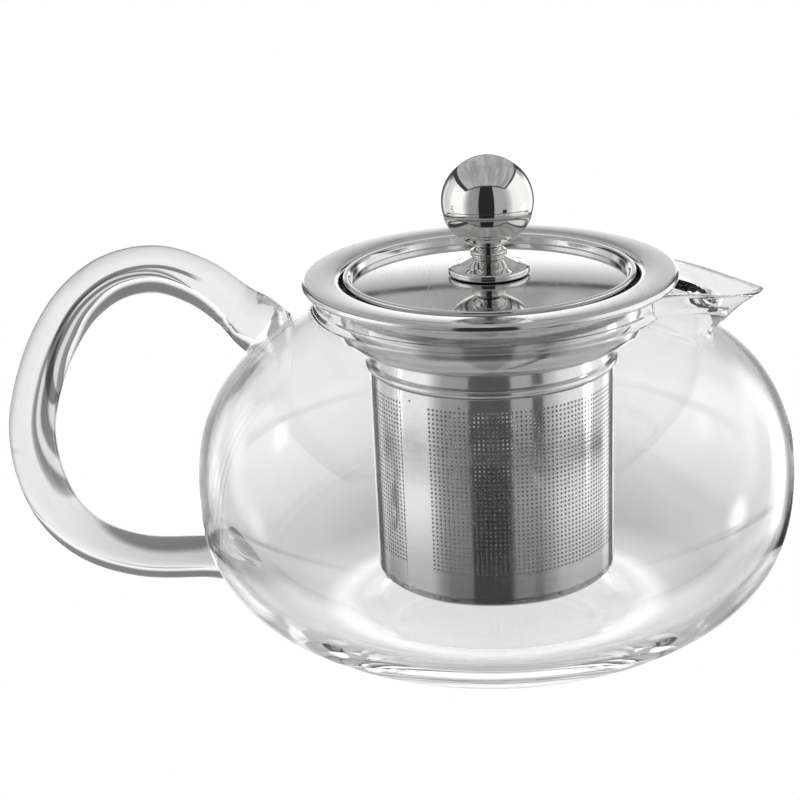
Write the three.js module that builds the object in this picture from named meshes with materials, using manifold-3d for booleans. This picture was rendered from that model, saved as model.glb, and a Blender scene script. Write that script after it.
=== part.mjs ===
// Glass teapot with a hanging steel infuser and a knobbed steel lid.
// Millimetres, +Z up. The origin is the centre of the flat base, the spout points to +X
// and the handle to -X.
import * as THREE from 'three';
import Module from 'manifold-3d';

const wasm = await Module();
wasm.setup();

const TAU = Math.PI * 2;
const GAP = 0.3;

// Glass vessel
const BODY_RADIUS = 71.6;
const EQUATOR_Z = 39.0;
const BASE_DROP = 41.0;
const SHOULDER_RISE = 49.5;
const BASE_POWER = 2.6;
const SHOULDER_POWER = 2.2;
const FOOT_RADIUS = 35.0;
const INNER_RADIUS = 69.2;
const INNER_DROP = 36.8;
const INNER_RISE = 47.1;
const FLOOR_Z = 4.4;
const NECK_RADIUS = 41.0;
const MOUTH_RADIUS = 38.5;
const NECK_FOOT_Z = 80.6;
const LIP_Z = 86.9;
const LIP_ROUND = 1.25;

// Pulled spout
const SPOUT_TIP_RADIUS = 63.9;
const SPOUT_TIP_Z = 81.6;
const SPOUT_ROOT_RADIUS = 53.1;
const SPOUT_ROOT_Z = 74.5;
const SPOUT_BORE_RADIUS = 61.5;
const SPOUT_BORE_ROOT_RADIUS = 51.3;
const SPOUT_BORE_ROOT_Z = 72.8;
const SPOUT_POWER = 1.1;
const SPOUT_HALF_ANGLE = 24.5;
const SPOUT_TIP_SOFTNESS = 1.2;
const SPOUT_BORE_HALF_ANGLE = 22.0;
const SPOUT_BORE_SOFTNESS = 2.0;
const SPOUT_RIM_DIP = 1.6;

// Handle rod
const HANDLE_ROD_RADIUS = 5.7;
const HANDLE_FOOT_RADIUS = 5.2;
const HANDLE_FLARE = 1.1;

// Infuser
const SHEET = 0.8;
const FLANGE_TOP_Z = 88.0;
const FLANGE_RADIUS = 44.0;
const HEM_RADIUS = 1.1;
const BOWL_RADIUS = 35.8;
const BOWL_CURVE_Z = 79.0;
const BOWL_BOTTOM_Z = 71.2;
const COLLAR_NECK_RADIUS = 28.5;
const BEAD_RADIUS = 29.75;
const BEAD_Z = 66.5;
const BASKET_RADIUS = 28.8;
const BASKET_SHEET = 0.6;
const BASKET_TOP_Z = 65.6;
const BASKET_BOTTOM_Z = 13.6;
const BASKET_CORNER = 3.2;
const SLEEVE_BOTTOM_Z = 62.9;
const FLOOR_LIP_RADIUS = 25.4;

// Lid
const LID_RADIUS = 34.2;
const LID_RIM_Z = 88.0;
const LID_CENTRE_Z = 86.1;
const LID_EDGE_Z = 84.3;
const LID_PANEL_RADIUS = 32.3;
const LID_SKIRT_RADIUS = 33.5;
const LID_SKIRT_Z = 77.6;
const BORE_RADIUS = 2.0;

// Knob
const BALL_RADIUS = 10.9;
const BALL_Z = 104.5;
const BALL_FLAT_Z = 94.1;
const KNOB_BASE_RADIUS = 9.6;
const KNOB_BEAD_RADIUS = 3.8;
const SCREW_RADIUS = 1.7;
const SCREW_HEAD_RADIUS = 3.4;
const SCREW_TOP_Z = 101.0;

const smoothstep = (t) => {
  const u = Math.min(Math.max(t, 0), 1);
  return u * u * (3 - 2 * u);
};

const mix = (a, b, t) => a + (b - a) * t;

function orientOutward(geometry) {
  const p = geometry.attributes.position;
  const index = geometry.index.array;
  let volume = 0;
  for (let i = 0; i < index.length; i += 3) {
    const a = new THREE.Vector3().fromBufferAttribute(p, index[i]);
    const b = new THREE.Vector3().fromBufferAttribute(p, index[i + 1]);
    const c = new THREE.Vector3().fromBufferAttribute(p, index[i + 2]);
    volume += a.dot(b.cross(c));
  }
  if (volume < 0) {
    for (let i = 0; i < index.length; i += 3) {
      const keep = index[i + 1];
      index[i + 1] = index[i + 2];
      index[i + 2] = keep;
    }
  }
  geometry.computeVertexNormals();
  return geometry;
}

// A closed skin over rings of points; a ring on the axis collapses to one point.
function skinRings(rings, closed) {
  const positions = [];
  const starts = [];
  for (const ring of rings) {
    starts.push(positions.length / 3);
    for (const point of ring) {
      positions.push(point[0], point[1], point[2]);
    }
  }
  const index = [];
  const last = closed ? rings.length : rings.length - 1;
  for (let i = 0; i < last; i += 1) {
    const j = (i + 1) % rings.length;
    const n = Math.max(rings[i].length, rings[j].length);
    for (let k = 0; k < n; k += 1) {
      const m = (k + 1) % n;
      const a = starts[i] + (rings[i].length === 1 ? 0 : k);
      const b = starts[i] + (rings[i].length === 1 ? 0 : m);
      const c = starts[j] + (rings[j].length === 1 ? 0 : k);
      const d = starts[j] + (rings[j].length === 1 ? 0 : m);
      if (rings[i].length > 1) {
        index.push(a, b, c);
      }
      if (rings[j].length > 1) {
        index.push(b, d, c);
      }
    }
  }
  const geometry = new THREE.BufferGeometry();
  geometry.setAttribute('position', new THREE.Float32BufferAttribute(positions, 3));
  geometry.setIndex(index);
  return orientOutward(geometry);
}

// A solid of revolution about Z from [radius, z] points.
function turn(profile, segments, closed) {
  const rings = profile.map(([r, z]) => {
    if (r < 1e-6) {
      return [[0, 0, z]];
    }
    const ring = [];
    for (let k = 0; k < segments; k += 1) {
      const a = (k / segments) * TAU;
      ring.push([r * Math.cos(a), r * Math.sin(a), z]);
    }
    return ring;
  });
  return skinRings(rings, closed);
}

function arc(cr, cz, radius, from, to, steps, radiusZ = radius) {
  const points = [];
  for (let i = 0; i <= steps; i += 1) {
    const a = THREE.MathUtils.degToRad(mix(from, to, i / steps));
    points.push([cr + radius * Math.cos(a), cz + radiusZ * Math.sin(a)]);
  }
  return points;
}

// Height of the rounded vessel wall above or below its widest line, at a given radius.
const domeHeight = (r, width, height, power) => height * (1 - (r / width) ** power) ** (1 / power);

// Half section of a vessel surface, from the axis at the base up to the lip.
function vesselSection(width, drop, rise, floorZ, floorRadius, neckRadius, steps) {
  const points = [[0, floorZ], [floorRadius * 0.5, floorZ], [floorRadius, floorZ]];
  for (let i = 1; i <= steps; i += 1) {
    const a = (i / steps) * (Math.PI / 2);
    const r = mix(floorRadius + 1.5, width, Math.sin(a));
    const z = EQUATOR_Z - domeHeight(Math.min(r, width), width, drop, BASE_POWER);
    points.push([r, Math.max(z, floorZ + 0.05)]);
  }
  for (let i = 1; i <= steps; i += 1) {
    const a = (i / steps) * (Math.PI / 2);
    const r = mix(width, neckRadius + 3.4, 1 - Math.cos(a));
    points.push([r, EQUATOR_Z + domeHeight(r, width, rise, SHOULDER_POWER)]);
  }
  return points;
}

const spoutReach = (degrees, halfAngle, softness) => {
  const spread = Math.sqrt(degrees * degrees + softness * softness) - softness;
  return Math.max(0, 1 - spread / halfAngle) ** SPOUT_POWER;
};

function buildGlassBody() {
  const outer = vesselSection(BODY_RADIUS, BASE_DROP, SHOULDER_RISE, 0, FOOT_RADIUS, NECK_RADIUS, 9);
  outer.push([NECK_RADIUS + 1.2, NECK_FOOT_Z + 0.2]);
  outer.push([NECK_RADIUS + 0.2, NECK_FOOT_Z + 1.6]);
  outer.push([NECK_RADIUS, NECK_FOOT_Z + 3.4]);
  const inner = vesselSection(INNER_RADIUS, INNER_DROP, INNER_RISE, FLOOR_Z, 30, MOUTH_RADIUS, 8);
  inner.push([MOUTH_RADIUS + 1.0, NECK_FOOT_Z - 1.4]);
  inner.push([MOUTH_RADIUS, NECK_FOOT_Z + 1.2]);
  inner.push([MOUTH_RADIUS, NECK_FOOT_Z + 3.4]);
  const lip = arc((NECK_RADIUS + MOUTH_RADIUS) / 2, LIP_Z - LIP_ROUND, LIP_ROUND, 0, 180, 4);
  const section = [...outer, ...lip, ...inner.reverse()];
  const angles = [];
  for (let k = 0; k < 64; k += 1) {
    const t = (k / 64) * 2 - 1;
    angles.push(180 * Math.sign(t) * (0.42 * Math.abs(t) + 0.58 * Math.abs(t) ** 2.4));
  }
  const outerCount = outer.length + 3;
  const rings = section.map(([r, z], i) => {
    if (r < 1e-6) {
      return [[0, 0, z]];
    }
    const isOuter = i < outerCount;
    const tipRadius = isOuter ? SPOUT_TIP_RADIUS : SPOUT_BORE_RADIUS;
    const rim = isOuter ? NECK_RADIUS : MOUTH_RADIUS;
    const rootRadius = isOuter ? SPOUT_ROOT_RADIUS : SPOUT_BORE_ROOT_RADIUS;
    const rootZ = isOuter ? SPOUT_ROOT_Z : SPOUT_BORE_ROOT_Z;
    const height = z > EQUATOR_Z ? (z - rootZ) / (LIP_Z - rootZ) : -1;
    const lift = Math.min(Math.max(height, 0), 1);
    return angles.map((degrees) => {
      const halfAngle = isOuter ? SPOUT_HALF_ANGLE : SPOUT_BORE_HALF_ANGLE;
      const softness = isOuter ? SPOUT_TIP_SOFTNESS : SPOUT_BORE_SOFTNESS;
      const reach = spoutReach(Math.abs(degrees), halfAngle, softness);
      const dip = SPOUT_RIM_DIP * smoothstep((36 - Math.abs(degrees)) / 10);
      const beakRadius = mix(rootRadius, tipRadius, lift) + (r - rim) * lift * 0.2;
      const beakZ = mix(rootZ, SPOUT_TIP_Z, lift) - (LIP_Z - z) * 0.2 * lift ** 6;
      const start = smoothstep(lift * 5);
      const radius = mix(r, beakRadius, reach * start);
      const level = mix(z - dip * lift ** 3, beakZ, smoothstep((reach - 0.15) / 0.9) * start);
      const a = THREE.MathUtils.degToRad(degrees);
      return [radius * Math.cos(a), radius * Math.sin(a), level];
    });
  });
  return skinRings(rings, false);
}

function toManifold(geometry) {
  const mesh = new wasm.Mesh({
    numProp: 3,
    vertProperties: new Float32Array(geometry.attributes.position.array),
    triVerts: new Uint32Array(geometry.index.array),
  });
  return new wasm.Manifold(mesh);
}

function fromManifold(solid) {
  const mesh = solid.getMesh();
  const geometry = new THREE.BufferGeometry();
  geometry.setAttribute('position', new THREE.Float32BufferAttribute(mesh.vertProperties, 3));
  geometry.setIndex(Array.from(mesh.triVerts));
  geometry.computeVertexNormals();
  return geometry;
}

// The rod follows a C in the XZ plane and stops just short of the vessel wall.
function buildHandle() {
  const path = new THREE.CatmullRomCurve3([
    [-51.0, 72.6], [-59.4, 80.2], [-67.6, 86.7], [-77.8, 90.4], [-88.2, 88.9], [-97.0, 83.0],
    [-103.5, 74.4], [-108.4, 64.0], [-111.6, 51.6], [-111.0, 40.2], [-107.2, 29.6], [-99.6, 21.6],
    [-88.2, 17.2], [-74.0, 16.5], [-60.0, 17.2],
  ].map(([x, z]) => new THREE.Vector3(x, 0, z)));
  const steps = 34;
  const sides = 20;
  const rings = [];
  for (let i = 0; i <= steps; i += 1) {
    const t = i / steps;
    const centre = path.getPointAt(t);
    const tangent = path.getTangentAt(t);
    const across = new THREE.Vector3(-tangent.z, 0, tangent.x);
    const flare = HANDLE_FLARE * Math.max(smoothstep((0.11 - t) / 0.06), smoothstep((t - 0.93) / 0.05));
    const radius = mix(HANDLE_ROD_RADIUS, HANDLE_FOOT_RADIUS, smoothstep((t - 0.6) / 0.25)) + flare;
    const ring = [];
    for (let k = 0; k < sides; k += 1) {
      const a = (k / sides) * TAU;
      const offset = across.clone().multiplyScalar(radius * Math.cos(a));
      const point = centre.clone().add(offset);
      ring.push([point.x, radius * Math.sin(a), point.z]);
    }
    if (i === 0) {
      rings.push([[centre.x, 0, centre.z]]);
    }
    rings.push(ring);
    if (i === steps) {
      rings.push([[centre.x, 0, centre.z]]);
    }
  }
  const clearance = vesselSection(
    BODY_RADIUS + GAP, BASE_DROP + GAP, SHOULDER_RISE + GAP, -GAP, FOOT_RADIUS, NECK_RADIUS, 16,
  );
  clearance.push([0, NECK_FOOT_Z - 4]);
  const rod = toManifold(skinRings(rings, false));
  return fromManifold(rod.subtract(toManifold(turn(clearance, 96, false))));
}

// One pressed sheet: hemmed flange, deep bowl, narrow neck, bead and inner sleeve.
function buildCollar() {
  const sleeve = BASKET_RADIUS - BASKET_SHEET - GAP;
  const hemR = FLANGE_RADIUS - HEM_RADIUS;
  const hemZ = FLANGE_TOP_Z - HEM_RADIUS;
  const bowlWidth = BOWL_RADIUS - COLLAR_NECK_RADIUS - 0.9;
  const bowlHeight = BOWL_CURVE_Z - BOWL_BOTTOM_Z;
  const curveR = BOWL_RADIUS - bowlWidth;
  const profile = [
    [sleeve, SLEEVE_BOTTOM_Z],
    [sleeve, BASKET_TOP_Z + GAP],
    [BASKET_RADIUS + 0.5, BASKET_TOP_Z + GAP],
    [BEAD_RADIUS, BEAD_Z],
    [BEAD_RADIUS - 0.5, BEAD_Z + 0.7],
    [COLLAR_NECK_RADIUS, BEAD_Z + 1.1],
    [COLLAR_NECK_RADIUS, BOWL_BOTTOM_Z - 0.8],
    ...arc(curveR, BOWL_CURVE_Z, bowlWidth, -90, 0, 6, bowlHeight),
    [BOWL_RADIUS, FLANGE_TOP_Z - SHEET - 0.9],
    [BOWL_RADIUS + 0.7, FLANGE_TOP_Z - SHEET],
    [hemR - 1.0, FLANGE_TOP_Z - SHEET],
    ...arc(hemR, hemZ, HEM_RADIUS, -120, 90, 7),
    ...arc(BOWL_RADIUS + 0.7, FLANGE_TOP_Z - 1.4, 1.5, 90, 180, 3, 1.4),
    ...arc(curveR, BOWL_CURVE_Z, bowlWidth - SHEET, 0, -90, 6, bowlHeight - SHEET),
    [COLLAR_NECK_RADIUS - SHEET, BOWL_BOTTOM_Z - 0.1],
    [COLLAR_NECK_RADIUS - SHEET, BASKET_TOP_Z + 1.0],
    [sleeve - BASKET_SHEET, BASKET_TOP_Z + 0.3],
    [sleeve - BASKET_SHEET, SLEEVE_BOTTOM_Z],
  ];
  return turn(profile, 48, true);
}

// Rolled cylinder whose lower edge turns in under the floor.
function buildBasketWall() {
  const inside = BASKET_RADIUS - BASKET_SHEET;
  const cornerR = BASKET_RADIUS - BASKET_CORNER;
  const cornerZ = BASKET_BOTTOM_Z + BASKET_CORNER;
  const profile = [
    [inside, BASKET_TOP_Z],
    ...arc(cornerR, cornerZ, BASKET_CORNER - BASKET_SHEET, 0, -90, 4),
    [FLOOR_LIP_RADIUS - 0.9, BASKET_BOTTOM_Z + BASKET_SHEET],
    [FLOOR_LIP_RADIUS - 0.9, BASKET_BOTTOM_Z],
    ...arc(cornerR, cornerZ, BASKET_CORNER, -90, 0, 4),
    [BASKET_RADIUS, BASKET_TOP_Z],
  ];
  return turn(profile, 48, true);
}

// Flat disc laid inside on the turned-in edge of the wall.
function buildBasketFloor() {
  const z = BASKET_BOTTOM_Z + BASKET_SHEET + GAP;
  const edge = BASKET_RADIUS - BASKET_CORNER + 0.4;
  const profile = [
    [0, z],
    [edge - 1, z],
    [edge + 0.7, z + 0.7],
    [edge + 1.5, z + 2.6],
    [edge + 0.9, z + 2.6],
    [edge + 0.2, z + 1.1],
    [edge - 1.2, z + BASKET_SHEET],
    [0, z + BASKET_SHEET],
  ];
  return turn(profile, 48, false);
}

// Low domed panel sunk inside a raised folded rim, with a straight skirt inside the collar.
function buildLidDisc() {
  const domeZ = (r) => LID_CENTRE_Z - (LID_CENTRE_Z - LID_EDGE_Z) * (r / LID_PANEL_RADIUS) ** 2;
  const stops = [BORE_RADIUS, 10, 17, 23, 28, LID_PANEL_RADIUS];
  const rimMiddle = LID_RADIUS - 0.8;
  const profile = [
    ...stops.map((r) => [r, domeZ(r)]),
    [LID_PANEL_RADIUS + 0.3, LID_RIM_Z - 0.5],
    [rimMiddle, LID_RIM_Z],
    [LID_RADIUS - 0.3, LID_RIM_Z - 0.15],
    [LID_RADIUS, LID_RIM_Z - 0.7],
    [LID_RADIUS - 0.1, LID_RIM_Z - 1.3],
    [LID_SKIRT_RADIUS, LID_RIM_Z - 1.9],
    [LID_SKIRT_RADIUS, LID_SKIRT_Z],
    [LID_SKIRT_RADIUS - SHEET, LID_SKIRT_Z],
    [LID_SKIRT_RADIUS - SHEET, LID_EDGE_Z - SHEET - 0.2],
    ...stops.slice(0, -1).reverse().map((r) => [r, domeZ(r) - SHEET]),
  ];
  return turn(profile, 48, true);
}

function buildKnobBall() {
  const start = THREE.MathUtils.radToDeg(Math.asin((BALL_FLAT_Z - BALL_Z) / BALL_RADIUS));
  const shell = arc(0, BALL_Z, BALL_RADIUS, start, 90, 12);
  shell[shell.length - 1] = [0, BALL_Z + BALL_RADIUS];
  const top = SCREW_TOP_Z + 0.6;
  return turn([[0, top], [BORE_RADIUS, top], [BORE_RADIUS, BALL_FLAT_Z], ...shell], 32, false);
}

// Turned foot of the knob: a small bead above a bell-shaped skirt.
function buildKnobBase() {
  const bottom = LID_CENTRE_Z + GAP - 0.1;
  const profile = [
    [BORE_RADIUS, bottom],
    [KNOB_BASE_RADIUS - 0.4, bottom],
    [KNOB_BASE_RADIUS, bottom + 0.7],
    [KNOB_BASE_RADIUS - 0.1, bottom + 1.4],
    [KNOB_BASE_RADIUS - 0.8, bottom + 2.4],
    [KNOB_BASE_RADIUS - 2.0, bottom + 3.2],
    [KNOB_BASE_RADIUS - 3.5, bottom + 3.9],
    [KNOB_BEAD_RADIUS + 0.4, bottom + 4.5],
    [KNOB_BEAD_RADIUS - 0.1, bottom + 5.0],
    [KNOB_BEAD_RADIUS + 0.3, bottom + 5.9],
    [KNOB_BEAD_RADIUS - 0.1, bottom + 6.8],
    [KNOB_BEAD_RADIUS - 0.8, BALL_FLAT_Z - GAP],
    [BORE_RADIUS, BALL_FLAT_Z - GAP],
  ];
  return turn(profile, 32, true);
}

function buildKnobScrew() {
  const seat = LID_CENTRE_Z - SHEET - GAP;
  const profile = [
    [0, seat - 2.3],
    [SCREW_HEAD_RADIUS * 0.6, seat - 2.1],
    [SCREW_HEAD_RADIUS, seat - 1.2],
    [SCREW_HEAD_RADIUS, seat],
    [SCREW_RADIUS, seat],
    [SCREW_RADIUS, SCREW_TOP_Z],
    [0, SCREW_TOP_Z],
  ];
  return turn(profile, 20, false);
}

function material(colour, roughness, metalness, opacity = 1) {
  return new THREE.MeshStandardMaterial({
    color: colour,
    roughness,
    metalness,
    opacity,
    transparent: opacity < 1,
  });
}

function piece(name, geometry, look) {
  const mesh = new THREE.Mesh(geometry, look);
  mesh.name = name;
  return mesh;
}

const glass = new THREE.Group();
glass.name = 'glass_vessel';
glass.add(piece('glass_body', buildGlassBody(), material(0xe8ecec, 0.03, 0, 0.35)));
glass.add(piece('glass_handle', buildHandle(), material(0xe4e8e8, 0.04, 0, 0.4)));

const infuser = new THREE.Group();
infuser.name = 'infuser';
infuser.add(piece('infuser_collar', buildCollar(), material(0xd2d2d0, 0.22, 1)));
infuser.add(piece('basket_wall', buildBasketWall(), material(0xbcbcba, 0.3, 1)));
infuser.add(piece('basket_floor', buildBasketFloor(), material(0xb4b4b2, 0.34, 1)));

const lid = new THREE.Group();
lid.name = 'lid';
lid.add(piece('lid_disc', buildLidDisc(), material(0xc8c8c8, 0.12, 1)));
lid.add(piece('knob_ball', buildKnobBall(), material(0xcccccc, 0.06, 1)));
lid.add(piece('knob_base', buildKnobBase(), material(0xc6c6c6, 0.08, 1)));
lid.add(piece('knob_screw', buildKnobScrew(), material(0xaeaeac, 0.3, 1)));

const teapot = new THREE.Group();
teapot.name = 'teapot';
teapot.add(glass, infuser, lid);

export default teapot;
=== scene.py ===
"""Looks of a glass teapot with a hanging steel infuser and a knobbed steel lid.

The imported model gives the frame: its bodies, its boxes and its joints. Every piece here is a fine
mesh in the same frame, +Z up, with the spout to +X and the handle to -X. Sizes are written in
millimetres and become metres where a mesh is made.
"""

import logging
import math
from dataclasses import dataclass
from enum import Enum
from typing import Callable, Iterable, Sequence, Union

import bmesh
import bpy
import numpy as np
from mathutils import Matrix, Vector

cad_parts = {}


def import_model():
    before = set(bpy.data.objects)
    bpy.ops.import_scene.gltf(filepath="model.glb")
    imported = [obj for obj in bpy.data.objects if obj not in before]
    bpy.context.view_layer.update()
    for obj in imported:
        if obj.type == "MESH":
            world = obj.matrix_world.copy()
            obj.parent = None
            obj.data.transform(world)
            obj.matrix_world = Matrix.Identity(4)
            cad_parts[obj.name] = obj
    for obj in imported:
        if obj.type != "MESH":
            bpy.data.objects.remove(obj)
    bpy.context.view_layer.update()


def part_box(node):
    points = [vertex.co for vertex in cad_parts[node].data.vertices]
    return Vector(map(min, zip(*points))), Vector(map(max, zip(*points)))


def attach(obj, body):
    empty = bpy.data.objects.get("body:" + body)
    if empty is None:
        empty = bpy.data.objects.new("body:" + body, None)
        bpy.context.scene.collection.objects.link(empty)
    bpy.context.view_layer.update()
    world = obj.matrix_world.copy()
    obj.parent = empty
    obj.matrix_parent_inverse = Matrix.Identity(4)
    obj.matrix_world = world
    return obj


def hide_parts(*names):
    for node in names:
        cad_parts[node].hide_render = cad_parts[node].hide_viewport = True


MM = 0.001
GAP = 0.3
LOG = logging.getLogger("teapot")

Socket = bpy.types.NodeSocket
Tree = bpy.types.NodeTree
Piece = bpy.types.Object
Material = bpy.types.Material
Point = tuple[float, float]
Corner = tuple[float, float, float]
Value = Union[float, int, tuple, Socket]


class Body(str, Enum):
    """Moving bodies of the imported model."""

    VESSEL = "vessel"
    INFUSER = "infuser"
    LID = "lid"


class Slot(str, Enum):
    """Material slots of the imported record."""

    GLASS = "clear_glass"
    COLLAR = "collar_steel"
    BASKET = "basket_steel"
    LID = "lid_steel"
    KNOB = "knob_steel"
    SCREW = "screw_steel"


@dataclass(frozen=True)
class Reach:
    """How far a round node reaches in the frame, in millimetres."""

    radius: float
    low: float
    high: float

    @classmethod
    def of(cls, node: str) -> "Reach":
        """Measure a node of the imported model.

        Args:
            node: Name of the node.

        Returns:
            Its largest radius across Y, its lowest and its highest point.
        """
        low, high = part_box(node)
        return cls(high.y / MM, low.z / MM, high.z / MM)


# --------------------------------------------------------------------------- outlines and meshes


def smoothstep(value: np.ndarray) -> np.ndarray:
    """Ease from 0 to 1 as value goes from 0 to 1."""
    t = np.clip(value, 0.0, 1.0)
    return t * t * (3.0 - 2.0 * t)


def mix(start: float, end: float, share: np.ndarray) -> np.ndarray:
    """Blend from start to end by a share between 0 and 1."""
    return start + (end - start) * share


def turn_pair(first: Vector, second: Vector, angle: float) -> tuple[Vector, Vector]:
    """Turn two square directions in their own plane, the first towards the second."""
    c, s = math.cos(angle), math.sin(angle)
    return first * c + second * s, second * c - first * s


def arc(
    centre: Point, radii: Union[float, Point], start: float, end: float, steps: int
) -> list[Point]:
    """Points of a round or elliptical arc.

    Args:
        centre: Radius and height of the arc's centre.
        radii: One radius, or the radii across and up.
        start: First angle in degrees, from the outward direction.
        end: Last angle in degrees.
        steps: Number of chords.

    Returns:
        The points from the first angle to the last.
    """
    across, up = radii if isinstance(radii, tuple) else (radii, radii)
    angles = np.radians(np.linspace(start, end, steps + 1))
    return [(centre[0] + across * math.cos(a), centre[1] + up * math.sin(a)) for a in angles]


def rounded(corners: Sequence[Corner], closed: bool = True, steps: int = 5) -> list[Point]:
    """Round the corners of an outline.

    Args:
        corners: Radius, height and fillet radius of each corner.
        closed: Whether the last corner joins the first.
        steps: Chords in each fillet.

    Returns:
        The outline's points with an arc at each rounded corner.
    """
    points: list[Point] = []
    count = len(corners)
    for i, (r, z, fillet) in enumerate(corners):
        here = Vector((r, z))
        is_end = not closed and i in (0, count - 1)
        if fillet <= 0 or is_end:
            points.append((r, z))
            continue
        to_last = Vector(corners[i - 1][:2]) - here
        to_next = Vector(corners[(i + 1) % count][:2]) - here
        half = to_last.angle(to_next) / 2
        reach = min(fillet / math.tan(half), to_last.length * 0.49, to_next.length * 0.49)
        start, end = here + to_last.normalized() * reach, here + to_next.normalized() * reach
        for k in range(steps + 1):
            t = k / steps
            point = start * (1 - t) ** 2 + here * 2 * t * (1 - t) + end * t**2
            points.append((point.x, point.y))
    return points


def smooth_run(points: Sequence[Sequence[float]], spacing: float) -> np.ndarray:
    """A smooth line through points, with even steps along its length.

    Args:
        points: The points that the line passes through.
        spacing: Distance between the line's steps.

    Returns:
        The line's points, one row each.
    """
    p = np.array(points, float)
    p = np.vstack([2 * p[0] - p[1], p, 2 * p[-1] - p[-2]])
    knots = np.concatenate([[0.0], np.cumsum(np.linalg.norm(np.diff(p, axis=0), axis=1) ** 0.5)])
    fine = []
    for i in range(1, len(p) - 2):
        t0, t1, t2, t3 = knots[i - 1 : i + 3]
        for t in np.linspace(t1, t2, 24, endpoint=i == len(p) - 3):
            a = p[i - 1] * (t1 - t) / (t1 - t0) + p[i] * (t - t0) / (t1 - t0)
            b = p[i] * (t2 - t) / (t2 - t1) + p[i + 1] * (t - t1) / (t2 - t1)
            c = p[i + 1] * (t3 - t) / (t3 - t2) + p[i + 2] * (t - t2) / (t3 - t2)
            d = a * (t2 - t) / (t2 - t0) + b * (t - t0) / (t2 - t0)
            e = b * (t3 - t) / (t3 - t1) + c * (t - t1) / (t3 - t1)
            fine.append(d * (t2 - t) / (t2 - t1) + e * (t - t1) / (t2 - t1))
    line = np.array(fine)
    length = np.concatenate([[0.0], np.cumsum(np.linalg.norm(np.diff(line, axis=0), axis=1))])
    stops = np.linspace(0, length[-1], max(2, round(length[-1] / spacing)) + 1)
    return np.stack([np.interp(stops, length, line[:, k]) for k in range(line.shape[1])], axis=1)


def make_object(
    name: str, points: np.ndarray, faces: Iterable[Sequence[int]], edges: Sequence[tuple[int, int]] = ()
) -> Piece:
    """Make a mesh object whose place is in its mesh.

    Args:
        name: Name of the object.
        points: Points in millimetres, one row each.
        faces: Point numbers of each face.
        edges: Point numbers of each edge of a line without faces.

    Returns:
        The object, linked to the scene.
    """
    mesh = bpy.data.meshes.new(name)
    mesh.from_pydata((np.asarray(points, float) * MM).tolist(), list(edges), list(faces))
    mesh.update()
    made = bpy.data.objects.new(name, mesh)
    bpy.context.scene.collection.objects.link(made)
    return made


def turn(name: str, outline: Sequence[Point], segments: int, closed: bool = True) -> Piece:
    """Turn a half section about the Z axis.

    Args:
        name: Name of the object.
        outline: Radius and height of each point; a radius of 0 is a pole.
        segments: Number of columns around the axis.
        closed: Whether the outline's last point joins its first.

    Returns:
        The turned object, with its first column seam at the back.
    """
    angles = (np.arange(segments) / segments * 2 - 1) * math.pi
    points: list[tuple[float, float, float]] = []
    rings: list[list[int]] = []
    for r, z in outline:
        first = len(points)
        if r < 1e-6:
            points.append((0.0, 0.0, z))
            rings.append([first] * segments)
            continue
        points += [(r * math.sin(a), -r * math.cos(a), z) for a in angles]
        rings.append(list(range(first, first + segments)))
    faces = []
    last = len(rings) if closed else len(rings) - 1
    for i in range(last):
        low, high = rings[i], rings[(i + 1) % len(rings)]
        for k in range(segments):
            m = (k + 1) % segments
            face = list(dict.fromkeys((low[k], low[m], high[m], high[k])))
            if len(face) > 2:
                faces.append(face)
    return make_object(name, np.array(points), faces)


def finish_mesh(piece: Piece, sharp_degrees: float = 38.0) -> Piece:
    """Turn a closed mesh's faces outwards and shade it smooth between sharp edges.

    Args:
        piece: The object to finish.
        sharp_degrees: Angle between faces past which their edge is sharp.

    Returns:
        The same object.
    """
    work = bmesh.new()
    work.from_mesh(piece.data)
    bmesh.ops.remove_doubles(work, verts=work.verts, dist=0.002 * MM)
    bmesh.ops.recalc_face_normals(work, faces=work.faces)
    work.to_mesh(piece.data)
    work.free()
    piece.data.shade_smooth()
    piece.data.set_sharp_from_angle(angle=math.radians(sharp_degrees))
    return piece


def cut(piece: Piece, tool: Piece) -> Piece:
    """Cut a solid out of another and remove it.

    Args:
        piece: The solid that is changed.
        tool: The solid that cuts it.

    Returns:
        The changed solid.
    """
    step = piece.modifiers.new("cut", "BOOLEAN")
    step.object, step.operation, step.solver = tool, "DIFFERENCE", "MANIFOLD"
    return settle(piece, [tool])


def settle(piece: Piece, spent: Sequence[Piece] = ()) -> Piece:
    """Make an object's evaluated shape its plain mesh and remove its modifiers.

    Args:
        piece: The object with modifiers.
        spent: Helper objects that are removed.

    Returns:
        The same object with a plain mesh.
    """
    bpy.context.view_layer.update()
    evaluated = piece.evaluated_get(bpy.context.evaluated_depsgraph_get())
    mesh = bpy.data.meshes.new_from_object(evaluated)
    piece.modifiers.clear()
    piece.data = mesh
    mesh.name = piece.name
    for helper in spent:
        bpy.data.objects.remove(helper)
    return piece


# --------------------------------------------------------------------------- node trees


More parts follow.
